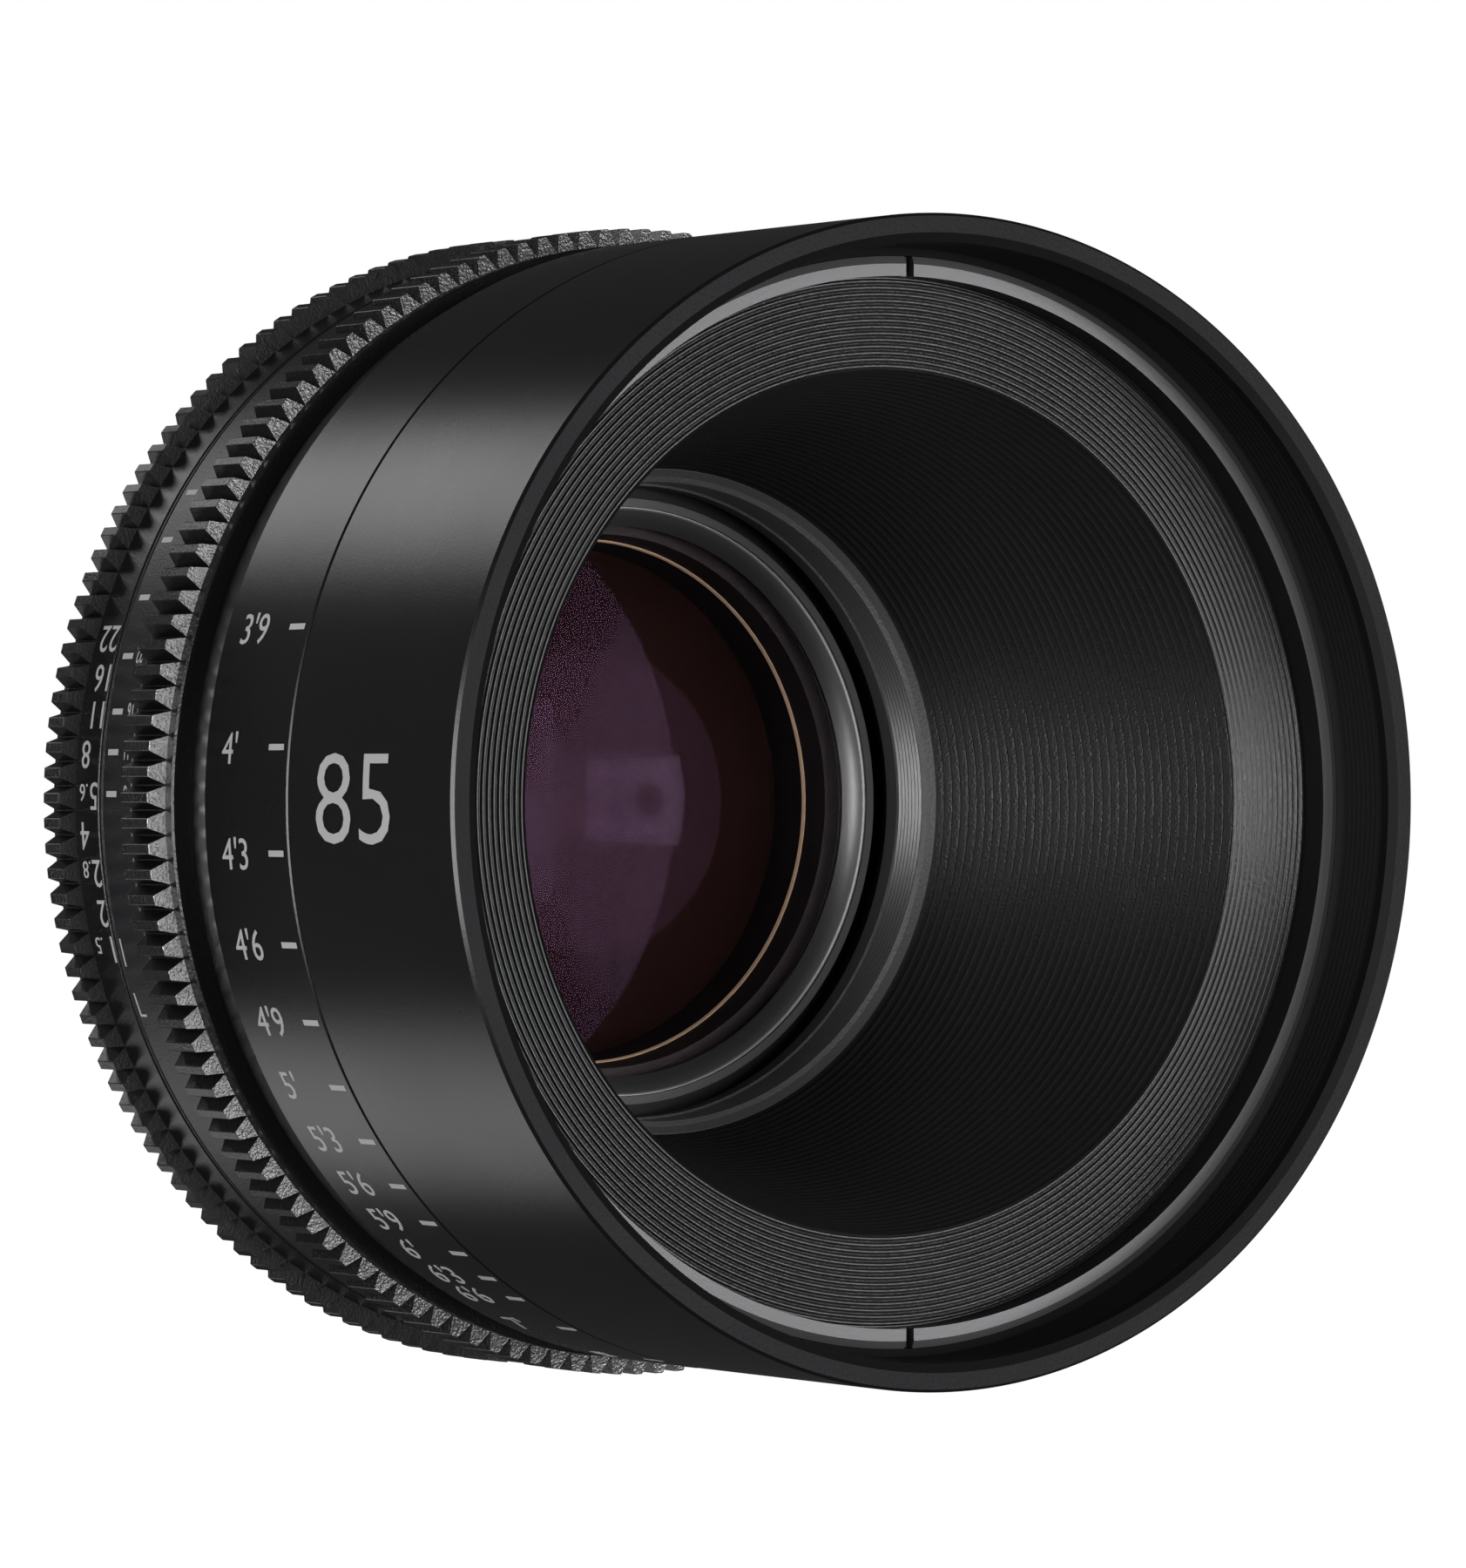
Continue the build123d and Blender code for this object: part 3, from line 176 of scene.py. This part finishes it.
for face in front.data.polygons:
    station = (face.center.y - rim) / mm
    if station < 0.01:
        face.material_index = 1
    elif Vector((face.center.x, 0, face.center.z)).length < (thread_radius + 1) * mm and station < 12:
        face.material_index = 2
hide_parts("front_barrel")

# The focal length in mm stands on the front barrel's index side, in plain enamelled numbers.
# Numbers and marks all round the lens are thin raised enamel, bent to the radius they sit on.
ink = metal("scale_enamel", (0.75, 0.75, 0.75), 0.55, strength=0)
enamel_depth = 0.03
font_scale = 1.38
slice_height = 0.8


def enamel(name, node, radius, words, bars, thinning=0.0):
    """Raised marks: words are (text, size, width share, station, angle, flipped), bars are
    (length, thickness, station, angle); a flipped word stands on its head and runs to the rear."""
    build = bmesh.new()
    for text, size, share, station, angle, flipped in words:
        curve = bpy.data.curves.new("word", "FONT")
        curve.body = text
        curve.size = size * font_scale
        curve.resolution_u = 3
        curve.offset = thinning * size
        curve.extrude = enamel_depth
        word = bpy.data.objects.new("word", curve)
        sheet = bpy.data.meshes.new_from_object(word)
        part = bmesh.new()
        part.from_mesh(sheet)
        left = min(vert.co.x for vert in part.verts)
        for step in range(1, int(size / slice_height) + 1):
            bmesh.ops.bisect_plane(
                part, geom=part.verts[:] + part.edges[:] + part.faces[:],
                plane_co=(0, step * slice_height, 0), plane_no=(0, 1, 0),
            )
        way = -1 if flipped else 1
        for vert in part.verts:
            along = station - way * share * (vert.co.x - left)
            up = math.degrees(way * (vert.co.y - size / 2) / radius)
            vert.co = place(radius + vert.co.z, angle + up, along)
        part.to_mesh(sheet)
        part.free()
        build.from_mesh(sheet)
        bpy.data.objects.remove(word)
        bpy.data.curves.remove(curve)
        bpy.data.meshes.remove(sheet)
    for length, thickness, station, angle in bars:
        shape = bmesh.ops.create_cube(build, size=1)
        for vert in shape["verts"]:
            up = math.degrees(vert.co.y * thickness / radius)
            vert.co = place(radius + 2 * enamel_depth * vert.co.z, angle + up, station + length * vert.co.x)
    bmesh.ops.recalc_face_normals(build, faces=build.faces)
    piece = finish_mesh(name, build, node, 30)
    paint(piece, ink)
    return piece


words = [("85", 9.2, 1.2, 24.6, 0.7, False)]
enamel("focal_length_number", "front_barrel", barrel_radius, words, [], -0.012)

# Clamp ring inside the mouth: its two narrow slots, at the top and the bottom, take a spanner.
# The part in front of the slots' floor is two halves, and its chamfer catches the light.
baffle_black = metal("baffle_black", (0.010, 0.010, 0.011), 0.32, strength=0.3)
clamp_gray = metal("clamp_ring_gray", (0.13, 0.13, 0.134), 0.4, metallic=0.5)
clamp_inner = 51.3
clamp_outer = clamp_bore - 0.05
slot_floor = 8.5
slot_width = 0.9
slot_half = math.degrees(slot_width / 2 / clamp_inner)
build = bmesh.new()
for top in (90, -90):
    outline = [(clamp_inner, thread_end), (clamp_outer - 0.75, thread_end), (clamp_outer, thread_end + 0.3)]
    outline += [(clamp_outer, slot_floor), (clamp_inner, slot_floor)]
    corners = [build.verts.new(place(radius, top + slot_half, station)) for radius, station in outline]
    section = build.faces.new(corners)
    bmesh.ops.spin(
        build, geom=[section], cent=(0, 0, 0), axis=(0, 1, 0),
        angle=math.radians(180 - 2 * slot_half), steps=180,
    )
bmesh.ops.recalc_face_normals(build, faces=build.faces)
clamp_front = finish_mesh("clamp_ring_front", build, "front_retaining_ring", 20)
outline = [(clamp_inner, slot_floor), (clamp_outer, slot_floor), (clamp_outer, 10.2), (clamp_inner, 10.2)]
clamp_back = turned("clamp_ring_back", "front_retaining_ring", outline)
for piece in (clamp_front, clamp_back):
    paint(piece, clamp_gray, baffle_black)
    for face in piece.data.polygons:
        if abs(face.normal.y) < 0.1:
            face.material_index = 1
    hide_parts("front_retaining_ring")

# Cone baffle: a flat ribbed flange, then a tapered wall with a groove at every step, so that
# stray light never reaches the glass. The crests lie on the taper and the grooves are cut outwards.
flange_outer = 51.2
cone_mouth = 42.3
cone_throat = 34.05
flange_front = 10.2
cone_start = 10.6
cone_end = 50.6
flange_ribs = 14
cone_grooves = 35
groove_depth = 0.45
outline = [(53.2, 12.2), (53.2, flange_front)]
pitch = (flange_outer - cone_mouth) / flange_ribs
for rib in range(flange_ribs):
    outer = flange_outer - rib * pitch
    depth = flange_front + (cone_start - flange_front) * rib / flange_ribs
    outline += [(outer, depth + 0.18), (outer - 0.3 * pitch, depth), (outer - 0.5 * pitch, depth)]
    outline += [(outer - 0.8 * pitch, depth + 0.18)]
pitch = (cone_end - cone_start) / cone_grooves
taper = (cone_throat - cone_mouth) / cone_grooves
for groove in range(cone_grooves):
    near = cone_start + groove * pitch
    crest = cone_mouth + taper * groove
    bottom = crest + groove_depth
    outline += [(crest, near), (crest + 0.1 * taper, near + 0.1 * pitch), (bottom, near + 0.3 * pitch)]
    outline += [(bottom, near + 0.6 * pitch), (crest + 0.38, near + 0.66 * pitch)]
outline += [(cone_throat, cone_end), (35.6, cone_end), (35.6, 47.4), (36.0, 47.4), (44.5, 12.2)]
cone = turned("cone_baffle_skin", "cone_baffle", outline, crease=15)
paint(cone, baffle_black)
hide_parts("cone_baffle")

# Rear baffle ring: a gray step, seven bright fine ribs and a gray lip, turned in one piece.
# The ribs keep their tool marks, so they are smoother than the blasted lip.
lip_radius = 32.5
rib_gray = metal("rib_gray", (0.2, 0.2, 0.205), 0.3, metallic=0.6)
lip_gray = metal("lip_gray", (0.09, 0.09, 0.093), 0.4, strength=0.6, scale=3000)
outline = [(34.0, 50.65), (33.3, 51.2)]
for rib in range(7):
    near = 51.4 + rib * 0.6
    outline += [(32.75, near), (32.75, near + 0.1), (33.05, near + 0.2), (33.05, near + 0.35)]
outline += [(32.75, 55.6), (lip_radius, 55.65), (lip_radius, 57.5), (36.75, 57.5), (36.75, 47.5)]
outline += [(35.65, 47.5), (35.65, 50.65)]
throat = turned("rear_baffle_skin", "rear_baffle_ring", outline, crease=15)
paint(throat, lip_gray, rib_gray)
for face in throat.data.polygons:
    if 51.3 < (face.center.y - rim) / mm < 55.6:
        face.material_index = 1
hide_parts("rear_baffle_ring")

# Front cell: the tube that carries the front elements, with a flat gray rim round the glass.
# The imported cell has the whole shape, so a welded copy of it with smooth faces stands in for it.
def welded(name, node, *materials, crease=20):
    """Copy of a CAD node with its loose triangles joined, so that its turned faces shade smoothly."""
    build = bmesh.new()
    build.from_mesh(frame["nodes"][node].data)
    bmesh.ops.remove_doubles(build, verts=build.verts, dist=1e-6)
    piece = finish_mesh(name, build, node, crease)
    paint(piece, *materials)
    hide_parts(node)
    return piece


cell = welded("front_cell_tube", "front_cell", metal("cell_gray", (0.09, 0.09, 0.092), 0.38, strength=0.4))

# Bevelled ring screwed over the front element, turned to a soft crown that is brightest at the glass.
# The crown runs from the glass at its inner edge up to the cell's rim.
crown = []
for step in range(9):
    share = 1 - step / 8
    crown += [(28.5 + 1.7 * share, 59.95 - 1.55 * (share + 0.1 * math.sin(math.pi * share)))]
outline = [(28.5, 60.05), (30.4, 60.05), (30.4, 58.4)] + crown
bevel = turned("bevel_ring_skin", "front_retainer", outline, crease=40)
paint(bevel, metal("bevel_silver", (0.22, 0.22, 0.225), 0.35, metallic=0.8))
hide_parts("front_retainer")

# Focus scale ring: the numbered grip of the focus movement, with a tapered shoulder behind
# the scale and a narrow neck in front of the teeth.
scale_radius = 57.0
shoulder = [(scale_radius, 45.75), (56.1, 49.6), (55.2, 50.4), (55.2, 52.2)]
outline = [(scale_radius, 30.2)] + shoulder + [(53.25, 52.2), (53.25, 34.05), (main_outer, 34.05)]
outline += [(main_outer, 30.05), (56.85, 30.05)]
scale = turned("focus_scale_skin", "focus_scale_ring", outline, crease=12)
paint(scale, black)
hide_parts("focus_scale_ring")

# Focus scale: plain distances in feet and inches, each with its tick at the seam.
# A distance's angle follows the focusing travel, which is the focal length squared over the distance.
foot = 304.8
inches = (45, 48, 51, 54, 57, 60, 63, 66, 69, 72, 75, 78, 84, 96, 120, 180)
focal_length = 85
near_travel = 7.43
near_angle = 17.4
turn_per_mm = 22.1
tick_length = 2.8
tick_width = 0.6
tick_station = 32.4
words = []
bars = []
for inch in inches:
    travel = focal_length ** 2 / (inch * foot / 12 - 2 * focal_length)
    angle = near_angle - (near_travel - travel) * turn_per_mm
    rest = inch % 12
    words.append((f"{inch // 12}'{rest or ''}", 3.2, 1.0, 42.7, angle, False))
    bars.append((tick_length, tick_width, tick_station, angle))
bars.append((tick_length, tick_width, tick_station, near_angle - near_travel * turn_per_mm))
enamel("focus_scale_marks", "focus_scale_ring", scale_radius, words, bars)

# Focus gear: 0.8 module teeth for a follow focus drive, cut into a ring behind its front flange.
# The front end faces of the teeth carry a painted highlight, a bright metallic gray that makes them
# brighter than the tooth flanks.
tooth_black = metal("tooth_black", (0.009, 0.009, 0.01), 0.3, strength=0.5, scale=3000)
tooth_end_highlight = metal("tooth_end_painted_highlight", (0.42, 0.42, 0.42), 0.32, strength=1.0, scale=3500, metallic=1.0)
root_radius = 57.0
tip_radius = 58.8
gear_teeth = 145
root_sink = 0.3
root_allowance = 0.05
tip_half_width = 0.475


def toothed(name, node, first, start, end, front_bevel, rear_bevel):
    """Row of teeth round the ring: one tooth is extruded along the axis, bevelled and turned round."""
    build = bmesh.new()
    half_root = math.degrees((math.pi * root_radius / gear_teeth + root_allowance) / root_radius)
    half_tip = math.degrees(tip_half_width / tip_radius)
    sides = ((root_radius - root_sink, -half_root), (tip_radius, -half_tip), (tip_radius, half_tip))
    sides += ((root_radius - root_sink, half_root),)
    corners = [build.verts.new(place(radius, first + side, start)) for radius, side in sides]
    profile = build.faces.new(corners)
    grown = bmesh.ops.extrude_face_region(build, geom=[profile], use_keep_orig=True)
    far = [item for item in grown["geom"] if isinstance(item, bmesh.types.BMVert)]
    bmesh.ops.translate(build, verts=far, vec=(0, (end - start) * mm, 0))
    near_tip = (tip_radius - 0.1) * mm
    top = [vert for vert in build.verts if Vector((vert.co.x, 0, vert.co.z)).length > near_tip]
    for vert in top:
        vert.co.y += -rear_bevel * mm if vert in far else front_bevel * mm
    lines = [edge for edge in build.edges if edge.verts[0] in top and edge.verts[1] in top]
    bmesh.ops.bevel(
        build, geom=lines, offset=0.06 * mm, segments=1, profile=0.5, affect="EDGES", material=-1,
    )
    bmesh.ops.recalc_face_normals(build, faces=build.faces)
    bmesh.ops.spin(
        build, geom=build.verts[:] + build.edges[:] + build.faces[:], cent=(0, 0, 0), axis=(0, 1, 0),
        angle=2 * math.pi * (gear_teeth - 1) / gear_teeth, steps=gear_teeth - 1, use_duplicate=True,
    )
    piece = finish_mesh(name, build, node, 12)
    paint(piece, tooth_black, tooth_end_highlight)
    # Faces that look to the front, the tooth ends, take the second material, their painted highlight.
    for face in piece.data.polygons:
        if face.normal.y < -0.6:
            face.material_index = 1
    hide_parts(node)
    return piece


toothed("focus_teeth", "focus_gear_ring", 0.46, 53.5, 60.2, 0.5, 0.9)
outline = [(main_outer, 52.2), (50.8, 52.2), (50.8, 48.2), (53.15, 48.2), (53.15, 52.2), (56.8, 52.2)]
outline += [(root_radius, 52.4), (root_radius, 60.15), (main_outer, 60.15)]
flange = turned("focus_flange_skin", "focus_gear_ring", outline)
paint(flange, tooth_black)
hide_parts("focus_gear_ring")

# Index barrel: the fixed ring between the two gears, blasted a shade lighter than the rings.
# A shallow groove and a fine rear edge set it off from the iris ring.
index_gray = metal("index_gray", (0.022, 0.022, 0.025), 0.36, strength=0.4)
outline = [(main_outer, 60.45), (56.9, 60.45), (scale_radius, 60.55), (scale_radius, 66.1)]
outline += [(56.7, 66.2), (56.7, 66.5), (56.95, 66.65), (56.95, 66.8), (56.8, 66.85)]
outline += [(53.25, 66.85), (53.25, 63.45), (main_outer, 63.45)]
index = turned("index_barrel_skin", "index_barrel", outline)
paint(index, index_gray)
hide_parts("index_barrel")

# Index marks: the witness lines for both scales, with small plain aperture numbers beside them.
# The long fine line and the bracket mark the ends of the range.
witness = (33.0, 27.4, 21.0, 14.8, 9.1, 5.0, 0.8)
bars = [(2.0, 0.6, 64.4, angle) for angle in witness]
bars += [(0.25, 2.9, 65.7, -15.3), (0.25, 2.4, 65.7, -20.8), (1.2, 0.25, 65.2, -22.0)]
apertures = zip(("22", "16", "11", "8"), witness[3:])
words = [(number, 1.7, 0.6, 61.3, angle, True) for number, angle in apertures]
enamel("index_marks", "index_barrel", scale_radius, words, bars)

# Iris scale ring: a narrow black ring with the stops, read from behind the camera.
# The ring and its gear turn as one on the main barrel, which the bore clears by 0.1 mm.
iris_black = metal("iris_ring_black", (0.007, 0.007, 0.008), 0.32, strength=0.3)
iris_bore = 49.1
outline = [(iris_bore, 67.1), (56.9, 67.1), (scale_radius, 67.2), (scale_radius, 71.7), (53.05, 71.7)]
outline += [(53.05, 70.2), (iris_bore, 70.2)]
iris_scale = turned("iris_scale_skin", "iris_scale_ring", outline)
paint(iris_scale, iris_black)
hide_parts("iris_scale_ring")
stops = (("22", 16.6), ("16", 12.5), ("11", 8.7), ("8", 4.7), ("5", 0.5), ("4", -3.5))
stops += (("2", -7.3), ("2", -11.4), ("1", -15.1))
words = []
for number, angle in stops:
    words.append((number, 2.9, 0.95, 69.1 if number in "84" else 67.3, angle, True))
for fraction, angle in ((".6", 0.9), (".8", -6.9), (".5", -14.7)):
    words.append((fraction, 1.8, 1.0, 69.3, angle, True))
enamel("iris_scale_marks", "iris_scale_ring", scale_radius, words, [])

# Iris gear: the same tooth as the focus gear, shorter and set behind the stops.
# The teeth are cut in black anodised aluminium, and their front ends carry a fainter painted highlight, a
# little brighter than the flanks.
iris_teeth = toothed("iris_teeth", "iris_gear_ring", 0.39, 71.7, 76.1, 0.3, 0.9)
# The iris teeth's painted highlight is fainter, a dark gray.
iris_teeth.data.materials[1] = metal("iris_tooth_end_painted_highlight", (0.03, 0.03, 0.032), 0.4, strength=1.0, scale=3500)
outline = [(iris_bore, 71.7), (root_radius, 71.7), (root_radius, 76.1), (iris_bore, 76.1)]
iris_land = turned("iris_gear_land", "iris_gear_ring", outline)
paint(iris_land, tooth_black)
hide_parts("iris_gear_ring")

# Rear barrel: a black taper from the iris gear down to the mount, turned in aluminium.
# It sits on the back of the main barrel and carries the mount on its rear face.
outline = [(52.6, 76.35), (54.8, 76.35), (55.0, 76.55), (55.0, 79.95), (46.5, 89.8), (40.2, 89.8)]
outline += [(40.2, 87.8), (45.0, 87.8), (45.0, 84.35), (main_outer, 84.35), (main_outer, 80.35)]
outline += [(52.6, 80.35)]
rear = turned("rear_barrel_skin", "rear_barrel", outline)
paint(rear, black)
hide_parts("rear_barrel")

# Inner tubes, keys and screws, seen only through the gaps and in the exploded lens.
# Turned steel and brass parts are bare, and the rest is blasted black.
steel = metal("turned_steel", (0.5, 0.5, 0.51), 0.3, metallic=1.0)
brass = metal("turned_brass", (0.65, 0.46, 0.2), 0.34, metallic=1.0)
inside_black = metal("inside_black", (0.012, 0.012, 0.013), 0.5, strength=0.5)
inner = {
    steel: (
        "front_barrel_screws", "focus_drive_key", "iris_cam_ring", "iris_drive_bar", "iris_drive_pin",
        "mount_shim", "mount_screws",
    ),
    brass: ("helicoid_sleeve", "guide_keys"),
    inside_black: (
        "main_barrel", "helicoid_retainer", "carrier", "mid_cell", "front_spacer", "iris_housing",
        "rear_cell", "rear_spacer", "rear_retainer",
    ),
}
for material, names in inner.items():
    for name in names:
        paint(frame["nodes"][name], material)

# Lens mount: a turned and plated steel flange and pilot, with four lugs milled at its edge.
# Lug and flange faces lie flush, and a notch in the top lug takes the camera's locating pin.
mount_front = 90.0
mount_face = 93.4
lug_front = 91.6
flange_radius = 31.3
base_radius = 43.6
pilot_radius = 27.0
pilot_end = 113.4
pilot_wall = 2
pilot_chamfer = 0.5
mount_floor = 1.6
mount_bore = 29.8
lug_radius = 34.8
lug_sweep = 50
notch_depth = 1.5
notch_width = 3
pilot_bore = pilot_radius - pilot_wall
floor_station = mount_face - mount_floor
outline = [(mount_bore, mount_front), (base_radius, mount_front), (base_radius, lug_front - edge_break)]
outline += [(base_radius - edge_break, lug_front), (flange_radius, lug_front), (flange_radius, mount_face)]
outline += [(pilot_radius, mount_face), (pilot_radius, pilot_end - pilot_chamfer)]
outline += [(pilot_radius - pilot_chamfer, pilot_end), (pilot_bore, pilot_end)]
outline += [(pilot_bore, floor_station), (mount_bore, floor_station)]
flange = turned("mount_flange_and_pilot", "lens_mount", outline)
build = bmesh.new()
notch_half = math.degrees(notch_width / 2 / lug_radius)
for middle in (0, 90, 180, 270):
    sections = [(middle - lug_sweep / 2, lug_sweep, lug_radius)]
    if middle == 90:
        side = lug_sweep / 2 - notch_half
        sections = [(middle - lug_sweep / 2, side, lug_radius), (middle + notch_half, side, lug_radius)]
        sections += [(middle - notch_half, 2 * notch_half, lug_radius - notch_depth)]
    for first, sweep, outer in sections:
        outline = [(flange_radius, lug_front), (outer, lug_front), (outer, mount_face)]
        outline += [(flange_radius, mount_face)]
        corners = [build.verts.new(place(radius, first, station)) for radius, station in outline]
        section = build.faces.new(corners)
        bmesh.ops.spin(
            build, geom=[section], cent=(0, 0, 0), axis=(0, 1, 0), angle=math.radians(sweep), steps=24,
        )
bmesh.ops.recalc_face_normals(build, faces=build.faces)
lugs = finish_mesh("mount_lugs", build, "lens_mount", 20)
for piece in (flange, lugs):
    paint(piece, steel)
    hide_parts("lens_mount")

# Iris: eleven blued spring steel blades, each pivoted in the housing and driven by the cam ring.
# They are seen as a dark rosette through the glass.
blade_steel = metal("blade_steel", (0.05, 0.05, 0.055), 0.35, metallic=0.8)
for name in frame["nodes"]:
    if name.startswith("iris_blade"):
        paint(frame["nodes"][name], blade_steel)


# Glass: polished elements with dark purple and amber coatings; the black grinding of their edges is not
# drawn.
# Each one is a welded copy of its packed element, so its curves are smooth. All but the second
# cast no shadow, so the light that falls in reaches the seat and the second one's coating.
def coated(name, colour, tint):
    """Coated glass: a tinted body and a coloured sheen from its coating."""
    material = bpy.data.materials.new(name)
    material.use_nodes = True
    shader = material.node_tree.nodes["Principled BSDF"]
    shader.inputs["Base Color"].default_value = (*colour, 1)
    shader.inputs["Roughness"].default_value = 0.02
    shader.inputs["Specular Tint"].default_value = (*tint, 1)
    shader.inputs["Specular IOR Level"].default_value = 0.03
    shader.inputs["IOR"].default_value = 1.12
    shader.inputs["Transmission Weight"].default_value = 1.0
    return material


purple_glass = coated("purple_coated_glass", (0.75, 0.64, 0.68), (0.8, 0.5, 1.0))
amber_glass = coated("amber_coated_glass", (0.2, 0.12, 0.1), (1.0, 0.7, 0.4))
elements = {
    "front_element": ("front_glass", purple_glass),
    "third_element": ("third_glass", purple_glass),
    "fourth_element": ("fourth_glass", amber_glass),
    "fifth_element": ("fifth_glass", purple_glass),
    "rear_element": ("rear_glass", amber_glass),
}
for node, (name, material) in elements.items():
    piece = welded(name, node, material, crease=25)
    piece.visible_shadow = False

# The second element has the darkest coating, brown, with a lighter mauve disc of painted light over the
# pupil.
# The disc's edge is a soft step in the distance from the lens axis.
pupil_glass = coated("coated_glass_with_painted_pupil_light", (0.1, 0.05, 0.06), (1.0, 0.6, 0.9))
pupil_glass.node_tree.nodes["Principled BSDF"].inputs["Transmission Weight"].default_value = 0.5
nodes = pupil_glass.node_tree.nodes
links = pupil_glass.node_tree.links
coordinates = nodes.new("ShaderNodeTexCoord")
across = nodes.new("ShaderNodeVectorMath")
across.operation = "MULTIPLY"
across.inputs[1].default_value = (1, 0, 1)
span = nodes.new("ShaderNodeVectorMath")
span.operation = "LENGTH"
pupil_light_edge = nodes.new("ShaderNodeMapRange")
pupil_light_edge.inputs["From Min"].default_value = 15.3 * mm
pupil_light_edge.inputs["From Max"].default_value = 15.8 * mm
coating_and_pupil_light = nodes.new("ShaderNodeMix")
coating_and_pupil_light.data_type = "RGBA"
# Inside the disc: the painted light over the pupil. Outside it: the brown of the coating.
coating_and_pupil_light.inputs["A"].default_value = (0.075, 0.042, 0.056, 1)
coating_and_pupil_light.inputs["B"].default_value = (0.04, 0.022, 0.018, 1)
links.new(coordinates.outputs["Object"], across.inputs[0])
links.new(across.outputs["Vector"], span.inputs[0])
links.new(span.outputs["Value"], pupil_light_edge.inputs["Value"])
links.new(pupil_light_edge.outputs["Result"], coating_and_pupil_light.inputs["Factor"])
links.new(coating_and_pupil_light.outputs["Result"], nodes["Principled BSDF"].inputs["Base Color"])
second = welded("second_glass", "second_element", pupil_glass, crease=25)

# Seat edge: a thin ring at the step in the bore of the spacer between the first two elements, painted
# bright gold as a painted highlight on the seat, and seen through the front glass as a thin gold line.
outline = [(26.65, 66.7), (26.8, 66.3), (27.05, 66.3), (27.05, 66.7)]
seat = turned("seat_edge", "front_spacer", outline)
paint(seat, metal("seat_painted_highlight", (0.95, 0.8, 0.5), 0.7))

# World: white where the camera looks past the lens, and a dim gray room in reflections.
# A white room would gray the black anodising, which is dark in the photograph.
world = bpy.data.worlds.new("studio")
bpy.context.scene.world = world
world.use_nodes = True
nodes = world.node_tree.nodes
links = world.node_tree.links
room = nodes.new("ShaderNodeMix")
room.data_type = "RGBA"
path = nodes.new("ShaderNodeLightPath")
room.inputs["A"].default_value = (0.05, 0.05, 0.05, 1)
room.inputs["B"].default_value = (1, 1, 1, 1)
links.new(path.outputs["Is Camera Ray"], room.inputs["Factor"])
links.new(room.outputs["Result"], nodes["Background"].inputs["Color"])

# Floor: a plain white board under the teeth, so bright by itself that no shadow shows on it.
# Only the camera sees it, so it neither lights the lens nor hides the lower box.
board = bmesh.new()
bmesh.ops.create_grid(board, x_segments=1, y_segments=1, size=3)
mesh = bpy.data.meshes.new("floor")
board.to_mesh(mesh)
board.free()
floor_gap = 0.4
floor = bpy.data.objects.new("floor", mesh)
floor.location = (0, 0, -(tip_radius + floor_gap) * mm)
floor.visible_diffuse = False
floor.visible_glossy = False
floor.visible_transmission = False
floor.visible_shadow = False
bpy.context.scene.collection.objects.link(floor)
floor_paint = bpy.data.materials.new("floor_white")
floor_paint.use_nodes = True
shader = floor_paint.node_tree.nodes["Principled BSDF"]
shader.inputs["Base Color"].default_value = (0.8, 0.8, 0.8, 1)
shader.inputs["Roughness"].default_value = 1.0
shader.inputs["Specular IOR Level"].default_value = 0
shader.inputs["Emission Color"].default_value = (1, 1, 1, 1)
shader.inputs["Emission Strength"].default_value = 0.98
floor.data.materials.append(floor_paint)

# Lights: one soft box above and one below, both behind the lens, which leave the index side dark
# between them, one on the axis for the mount, and three in front for the numbers, the teeth, the
# flange and the inside of the hood.
middle = Vector((0, -0.05, 0))
boxes = {
    "upper_box": (Vector((-0.26, 0.88, 0.53)), 0.3, 0.26, 0.6),
    "lower_box": (Vector((-0.26, 0.88, -0.52)), 0.34, 0.28, 0.4),
    "left_box": (Vector((-1.0, -0.67, -0.05)), 0.35, 0.6, 7),
    "front_box": (Vector((0.05, -1.2, 0.0)), 0.5, 0.8, 4.5),
    "rear_box": (Vector((0.0, 1.3, 0.0)), 0.5, 0.5, 3),
    "right_box": (Vector((0.68, -1.0, 0.0)), 0.62, 0.3, 4.5),
}
for name, (position, width, height, power) in boxes.items():
    light = bpy.data.lights.new(name, "AREA")
    light.shape = "RECTANGLE"
    light.size = width
    light.size_y = height
    light.energy = power
    lamp = bpy.data.objects.new(name, light)
    lamp.location = middle + position
    lamp.rotation_euler = (-position).to_track_quat("-Z", "Y").to_euler()
    lamp.visible_transmission = name != "rear_box"
    bpy.context.scene.collection.objects.link(lamp)

# Camera at the photograph's view, level with the axis and turned 34 degrees to the index side.
# The distance and the shifts were fitted to the rings' outlines.
yaw = math.radians(33.913)
distance = 0.71577
shift_right = 0.02133
shift_up = -0.0018
right = Vector((math.cos(yaw), -math.sin(yaw), 0))
towards = Vector((-math.sin(yaw), -math.cos(yaw), 0))
centre = Vector((0, rim, 0))
camera = bpy.data.cameras.new("camera")
camera.sensor_width = 36
camera.lens = 170
camera.clip_start = 0.01
viewer = bpy.data.objects.new("camera", camera)
viewer.location = centre - shift_right * right - Vector((0, 0, shift_up)) + distance * towards
viewer.rotation_euler = (math.radians(90), 0, -yaw)
bpy.context.scene.collection.objects.link(viewer)
bpy.context.scene.camera = viewer
bpy.context.scene.view_settings.view_transform = "Standard"
